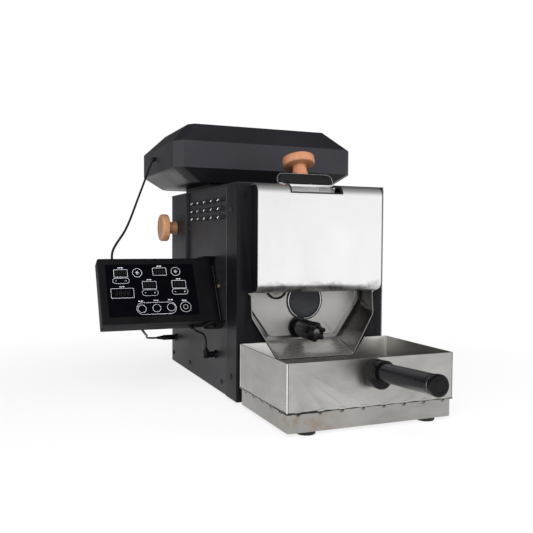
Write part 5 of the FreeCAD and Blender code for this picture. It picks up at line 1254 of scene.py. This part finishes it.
class ROASTER_OT_panel(bpy.types.Operator):
    """Finishes the control panel: case, pane, printed outlines, number displays and swivel bracket"""
    bl_idname = "roaster.panel"
    bl_label = "Control panel"

    def execute(self, context):
        softened("panel_case", "panel_moulded_case", sizes().mould_edge, finish("panel_case"), 3)
        softened("panel_glass", "panel_pane", sizes().sheet_edge, finish("pane"), 3)
        softened("panel_bracket", "panel_swivel_bracket", sizes().mould_edge, finish("moulding"), 3)
        softened("pivot_screws", "panel_pivot_screws", sizes().sheet_edge, finish("black_screw"), 2)
        self.print_lines()
        self.displays()
        return {"FINISHED"}

    def print_lines(self):
        """Windows, keys, dials, short bars in place of words, and plus and minus signs."""
        line = sizes().print_line / MM
        low, high = PANE_FACE + 0.02, PANE_FACE - sizes().print_rise / MM
        bm = bmesh.new()
        for x, z, width, height, digits in WINDOWS:
            raised(bm, rounded_box(x, z, width, height, 0.8),
                   rounded_box(x, z, width - 2 * line, height - 2 * line, 0.4), low, high)
        for x, z, width, height in KEYS:
            raised(bm, rounded_box(x, z, width, height, height / 2, 10),
                   rounded_box(x, z, width - 2 * line, height - 2 * line, height / 2 - line, 10), low, high)
        for x, z, radius in DIALS:
            raised(bm, rounded_box(x, z, 2 * radius, 2 * radius, radius, 12),
                   rounded_box(x, z, 2 * (radius - line), 2 * (radius - line), radius - line, 12), low, high)
        for x, z in LABELS:
            for shift in (-1.6, 1.6):
                printed_patch(bm, x + shift, z, 2.5, 1.2, 0.3, low, high)
        for x, z, width, height in KEYS[:3]:
            reach = width / 2 - 4.2
            printed_patch(bm, x - reach, z, 1.9, 0.5, 0.1, low, high)
            printed_patch(bm, x + reach, z, 1.9, 0.5, 0.1, low, high)
            printed_patch(bm, x + reach, z, 0.5, 1.9, 0.1, low, high - 0.004)
        for x, z, radius in DIALS[:2]:
            for rise, width in ((0, 4.6), (1.6, 2.4), (-1.6, 2.4)):
                printed_patch(bm, x, z + rise, width, 0.6, 0.2, low, high)
        settle(made_from(bm, "panel_printed_lines"), finish("ink"), "control_panel", "panel_glass")

    def displays(self):
        """Unlit seven-segment digits behind the windows."""
        head = bmesh.new()
        lean, thick, long, pitch = 0.12, 0.45, 2.0, 4.6
        flat = [(0, z, long, thick) for z in (2.6, 0, -2.6)]
        upright = [(x, z, thick, long) for z in (1.3, -1.3) for x in (-1.25, 1.25)]
        for x, z, width, height in flat + upright:
            corners = [(x + sx * width / 2, z + sz * height / 2)
                       for sx, sz in ((1, 1), (-1, 1), (-1, -1), (1, -1))]
            prism(head, *[[Vector((px + lean * pz, pz, y)) * MM for px, pz in corners] for y in (-0.02, 0.02)])
        out = (panel_at(0, -1, 0) - panel_at(0, 0, 0)).normalized()
        spots = [(panel_at(x + (i - (digits - 1) / 2) * pitch, PANE_FACE, z), out)
                 for x, z, width, height, digits in WINDOWS for i in range(digits)]
        repeated("panel_unlit_digits", made_from(head, "digit"), spots, finish("dim_ink"), "control_panel",
                 "panel_glass")


class ROASTER_OT_plugs(bpy.types.Operator):
    """Finishes the signal plugs, their sockets and the mains socket"""
    bl_idname = "roaster.plugs"
    bl_label = "Plugs and sockets"

    def execute(self, context):
        softened("cable_plugs", "signal_plugs", 0.5 * MM, finish("moulding"), 3)
        softened("signal_jacks", "signal_sockets", sizes().sheet_edge, finish("black_screw"), 2)
        softened("mains_inlet", "mains_socket", 0.4 * MM, finish("moulding"), 2)
        return {"FINISHED"}


# ---------------------------------------------------------------- cooling tray
class ROASTER_OT_tray(bpy.types.Operator):
    """Finishes the cooling tray: tub, perforated floor, lower pan, folded tabs and rubber feet"""
    bl_idname = "roaster.tray"
    bl_label = "Cooling tray"

    def execute(self, context):
        edge = sizes().sheet_edge
        softened("tray_tub", "tray_welded_tub", edge, finish("tray_steel"))
        softened("tray_base", "tray_lower_pan", edge, finish("base_steel"))
        carried(finish("inner_steel"), "tray_floor")
        feet("tray_pads", "tray_feet", "tray", 10, 4.2, 8.8)
        self.tabs()
        self.seam()
        self.corners()
        return {"FINISHED"}

    def tabs(self):
        """The domed ends of the tabs that hold the tub in the lower pan."""
        low = TRAY_SEAM - 1.6
        spots = [(at(FIRST_TAB_X + TAB_PITCH * i, TRAY_FRONT + 1.1, low), -Y) for i in range(8)]
        for side in (-1, 1):
            spots += [(at(side * 98.5, FIRST_TAB_Y + TAB_PITCH * i, low), X * side) for i in range(5)]
        dome = [(0, -0.3), (2.4, -0.3), (2.35, 0.4), (1.9, 1.0), (1.1, 1.35), (0, 1.45)]
        tab = made_from(turned(dome, Vector(), Z, 20), "tab")
        repeated("tray_tab_ends", tab, spots, finish("tab_steel"), "tray", "tray_stainless")

    def seam(self):
        """The black sealing line between the tub and the lower pan.

        It is thick near the front left corner, waves a little, and runs down beside each tab as a painted shadow
        of the tab."""
        bm = bmesh.new()
        half, parts = 99.6, 160
        section = ((-0.8, 1), (1.6, 1), (1.9, 0.2), (1.6, -1), (-0.8, -1))
        corners = [(-half, TRAY_REAR), (-half, TRAY_FRONT), (half, TRAY_FRONT), (half, TRAY_REAR)]
        runs = []
        for (x0, y0), (x1, y1) in zip(corners, corners[1:]):
            runs += [(x0 + (x1 - x0) * i / parts, y0 + (y1 - y0) * i / parts) for i in range(parts)]
        runs.append(corners[-1])
        rings = []
        for i, (x, y) in enumerate(runs):
            in_front = y < TRAY_FRONT + 0.6
            near = math.exp(-((x + 80) ** 2 + (y + 146) ** 2) / 900.0)
            tall = 0.45 + 0.7 * near + 0.12 * math.sin(i * 0.52) + 0.10 * math.sin(i * 0.21)
            past_tab = x - FIRST_TAB_X if in_front else y - FIRST_TAB_Y
            from_tab = abs((past_tab + TAB_PITCH / 2) % TAB_PITCH - TAB_PITCH / 2)
            # Painted shadow: the black line runs down at each tab.
            tab_shadow = 1.5 * math.exp(-(from_tab / 1.5) ** 2)
            out = 0.25 + 0.3 * near
            side = Vector((1 if x > 99 else -1 if x < -99 else 0, -1 if in_front else 0, 0)).normalized()
            rings.append([bm.verts.new(at(x, y, TRAY_SEAM)
                                       + (side * a * out + Z * (b * tall + min(b, 0) * tab_shadow)) * MM)
                          for a, b in section])
        for low, high in zip(rings, rings[1:]):
            bridged(bm, low, high)
        bm.faces.new(rings[0])
        bm.faces.new(rings[-1])
        line = made_from(bm, "tray_sealing_line", 60.0)
        settle(line, finish("rubber"), "tray", "black_rubber")

    def corners(self):
        """Strips of brighter steel up the tub's front corners as a painted highlight, each beside a thin dark
        joint.
        """
        for side, name in ((-1, "left"), (1, "right")):
            for kind, x, y, foot, rise, radius, facets, coat, slot in (
                    ("weld", 99.7, -145.7, 25.0, 49.4, 0.55, 12, "turned_steel", "tray_stainless"),
                    ("joint", 98.6, -145.95, 24.6, 49.6, 0.24, 8, "rubber", "black_rubber")):
                path = [at(side * x, y, foot + rise * i / 12) for i in range(13)]
                line = made_from(swept(path, radius * MM, facets), "tray_%s_%s" % (kind, name), 50.0)
                settle(line, finish(coat), "tray", slot)


class ROASTER_OT_handle(bpy.types.Operator):
    """Finishes the tray's handle"""
    bl_idname = "roaster.handle"
    bl_label = "Tray handle"

    def execute(self, context):
        softened("handle_mount", "handle_moulded_mount", 0.8 * MM, finish("moulding"), 3)
        tilt = math.radians(3.0)
        out = Vector((0, -math.cos(tilt), math.sin(tilt)))
        root = at(0, -154.5, 62.5)
        start, end, face = 12.0, 94.0, 102.0
        grip = [(0, start), (9.0, start), (9.8, start + 0.8)]
        grip += [(9.8, start + 1.5 + i * 3.9) for i in range(20)]
        grip += arc((8.6, end - 1.2), 1.2, 0, 90, 5) + [(0, end)]
        cap = [(0, end - 0.5), (7.9, end - 0.5), (7.9, end + 1.0), (9.9, end + 1.0), (10.5, end + 1.6)]
        cap += [(10.5, face - 1.9)] + arc((8.6, face - 1.9), 1.9, 0, 90, 6)[1:]
        cap += [(6.8, face), (6.4, face - 0.35), (6.0, face - 0.35), (5.6, face), (0, face)]
        band = [(8.0, end + 0.05), (9.7, end + 0.05), (9.9, end + 0.3), (9.9, end + 0.7), (9.7, end + 0.95),
                (8.0, end + 0.95), (8.0, end + 0.05)]
        for profile, name, coat, slot, stands_for in (
                (grip, "handle_round_grip", "grip", None, ("handle_grip",)),
                (cap, "handle_end_cap", "cap", None, ("handle_cap",)),
                (band, "handle_bright_band", "zinc", "zinc_screws", ())):
            settle(made_from(turned(profile, root, out, 72), name, 32.0), finish(coat), "tray", slot, stands_for)
        return {"FINISHED"}


class ROASTER_OT_inside(bpy.types.Operator):
    """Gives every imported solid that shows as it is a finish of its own"""
    bl_idname = "roaster.inside"
    bl_label = "Inner pieces"

    def execute(self, context):
        coats = {"inner_steel": "inner_steel", "mineral_wool": "fleece", "motor_case": "motor_case",
                 "filter_fleece": "fleece", "fan_plastic": "fan_plastic", "board_green": "board"}
        for name, node in frame["nodes"].items():
            if not node.hide_render and SLOT_OF[name] in coats:
                carried(finish(coats[SLOT_OF[name]]), name)
        return {"FINISHED"}


# ---------------------------------------------------------------- the add-on
class ROASTER_PT_pieces(bpy.types.Panel):
    """Lists the roaster's pieces in the sidebar"""
    bl_idname = "ROASTER_PT_pieces"
    bl_label = "Coffee roaster"
    bl_space_type = "VIEW_3D"
    bl_region_type = "UI"
    bl_category = "Roaster"

    def draw(self, context):
        """A button for each piece, then the settings."""
        for operator in OPERATORS:
            self.layout.operator(operator.bl_idname)
        for group in (context.scene.roaster_sizes, context.scene.roaster_colours, context.scene.roaster_studio):
            box = self.layout.box()
            for name in group.__annotations__:
                box.prop(group, name)


GROUPS = (RoasterSizes, RoasterColours, RoasterStudio)
OPERATORS = (ROASTER_OT_stage, ROASTER_OT_cables, ROASTER_OT_cabinet, ROASTER_OT_screws, ROASTER_OT_hood,
             ROASTER_OT_cover, ROASTER_OT_inlet, ROASTER_OT_wood, ROASTER_OT_discharge, ROASTER_OT_panel,
             ROASTER_OT_plugs, ROASTER_OT_tray, ROASTER_OT_handle, ROASTER_OT_inside)


def register():
    """Makes the operators, the panel and the settings known."""
    for item in (*GROUPS, *OPERATORS, ROASTER_PT_pieces):
        bpy.utils.register_class(item)
    bpy.types.Scene.roaster_sizes = PointerProperty(type=RoasterSizes)
    bpy.types.Scene.roaster_colours = PointerProperty(type=RoasterColours)
    bpy.types.Scene.roaster_studio = PointerProperty(type=RoasterStudio)


def unregister():
    """Takes them away again."""
    del bpy.types.Scene.roaster_sizes, bpy.types.Scene.roaster_colours, bpy.types.Scene.roaster_studio
    for item in reversed((*GROUPS, *OPERATORS, ROASTER_PT_pieces)):
        bpy.utils.unregister_class(item)


def main():
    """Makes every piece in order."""
    register()
    for operator in OPERATORS:
        getattr(bpy.ops.roaster, operator.bl_idname.split(".")[1])()


if __name__ == "__main__":
    main()
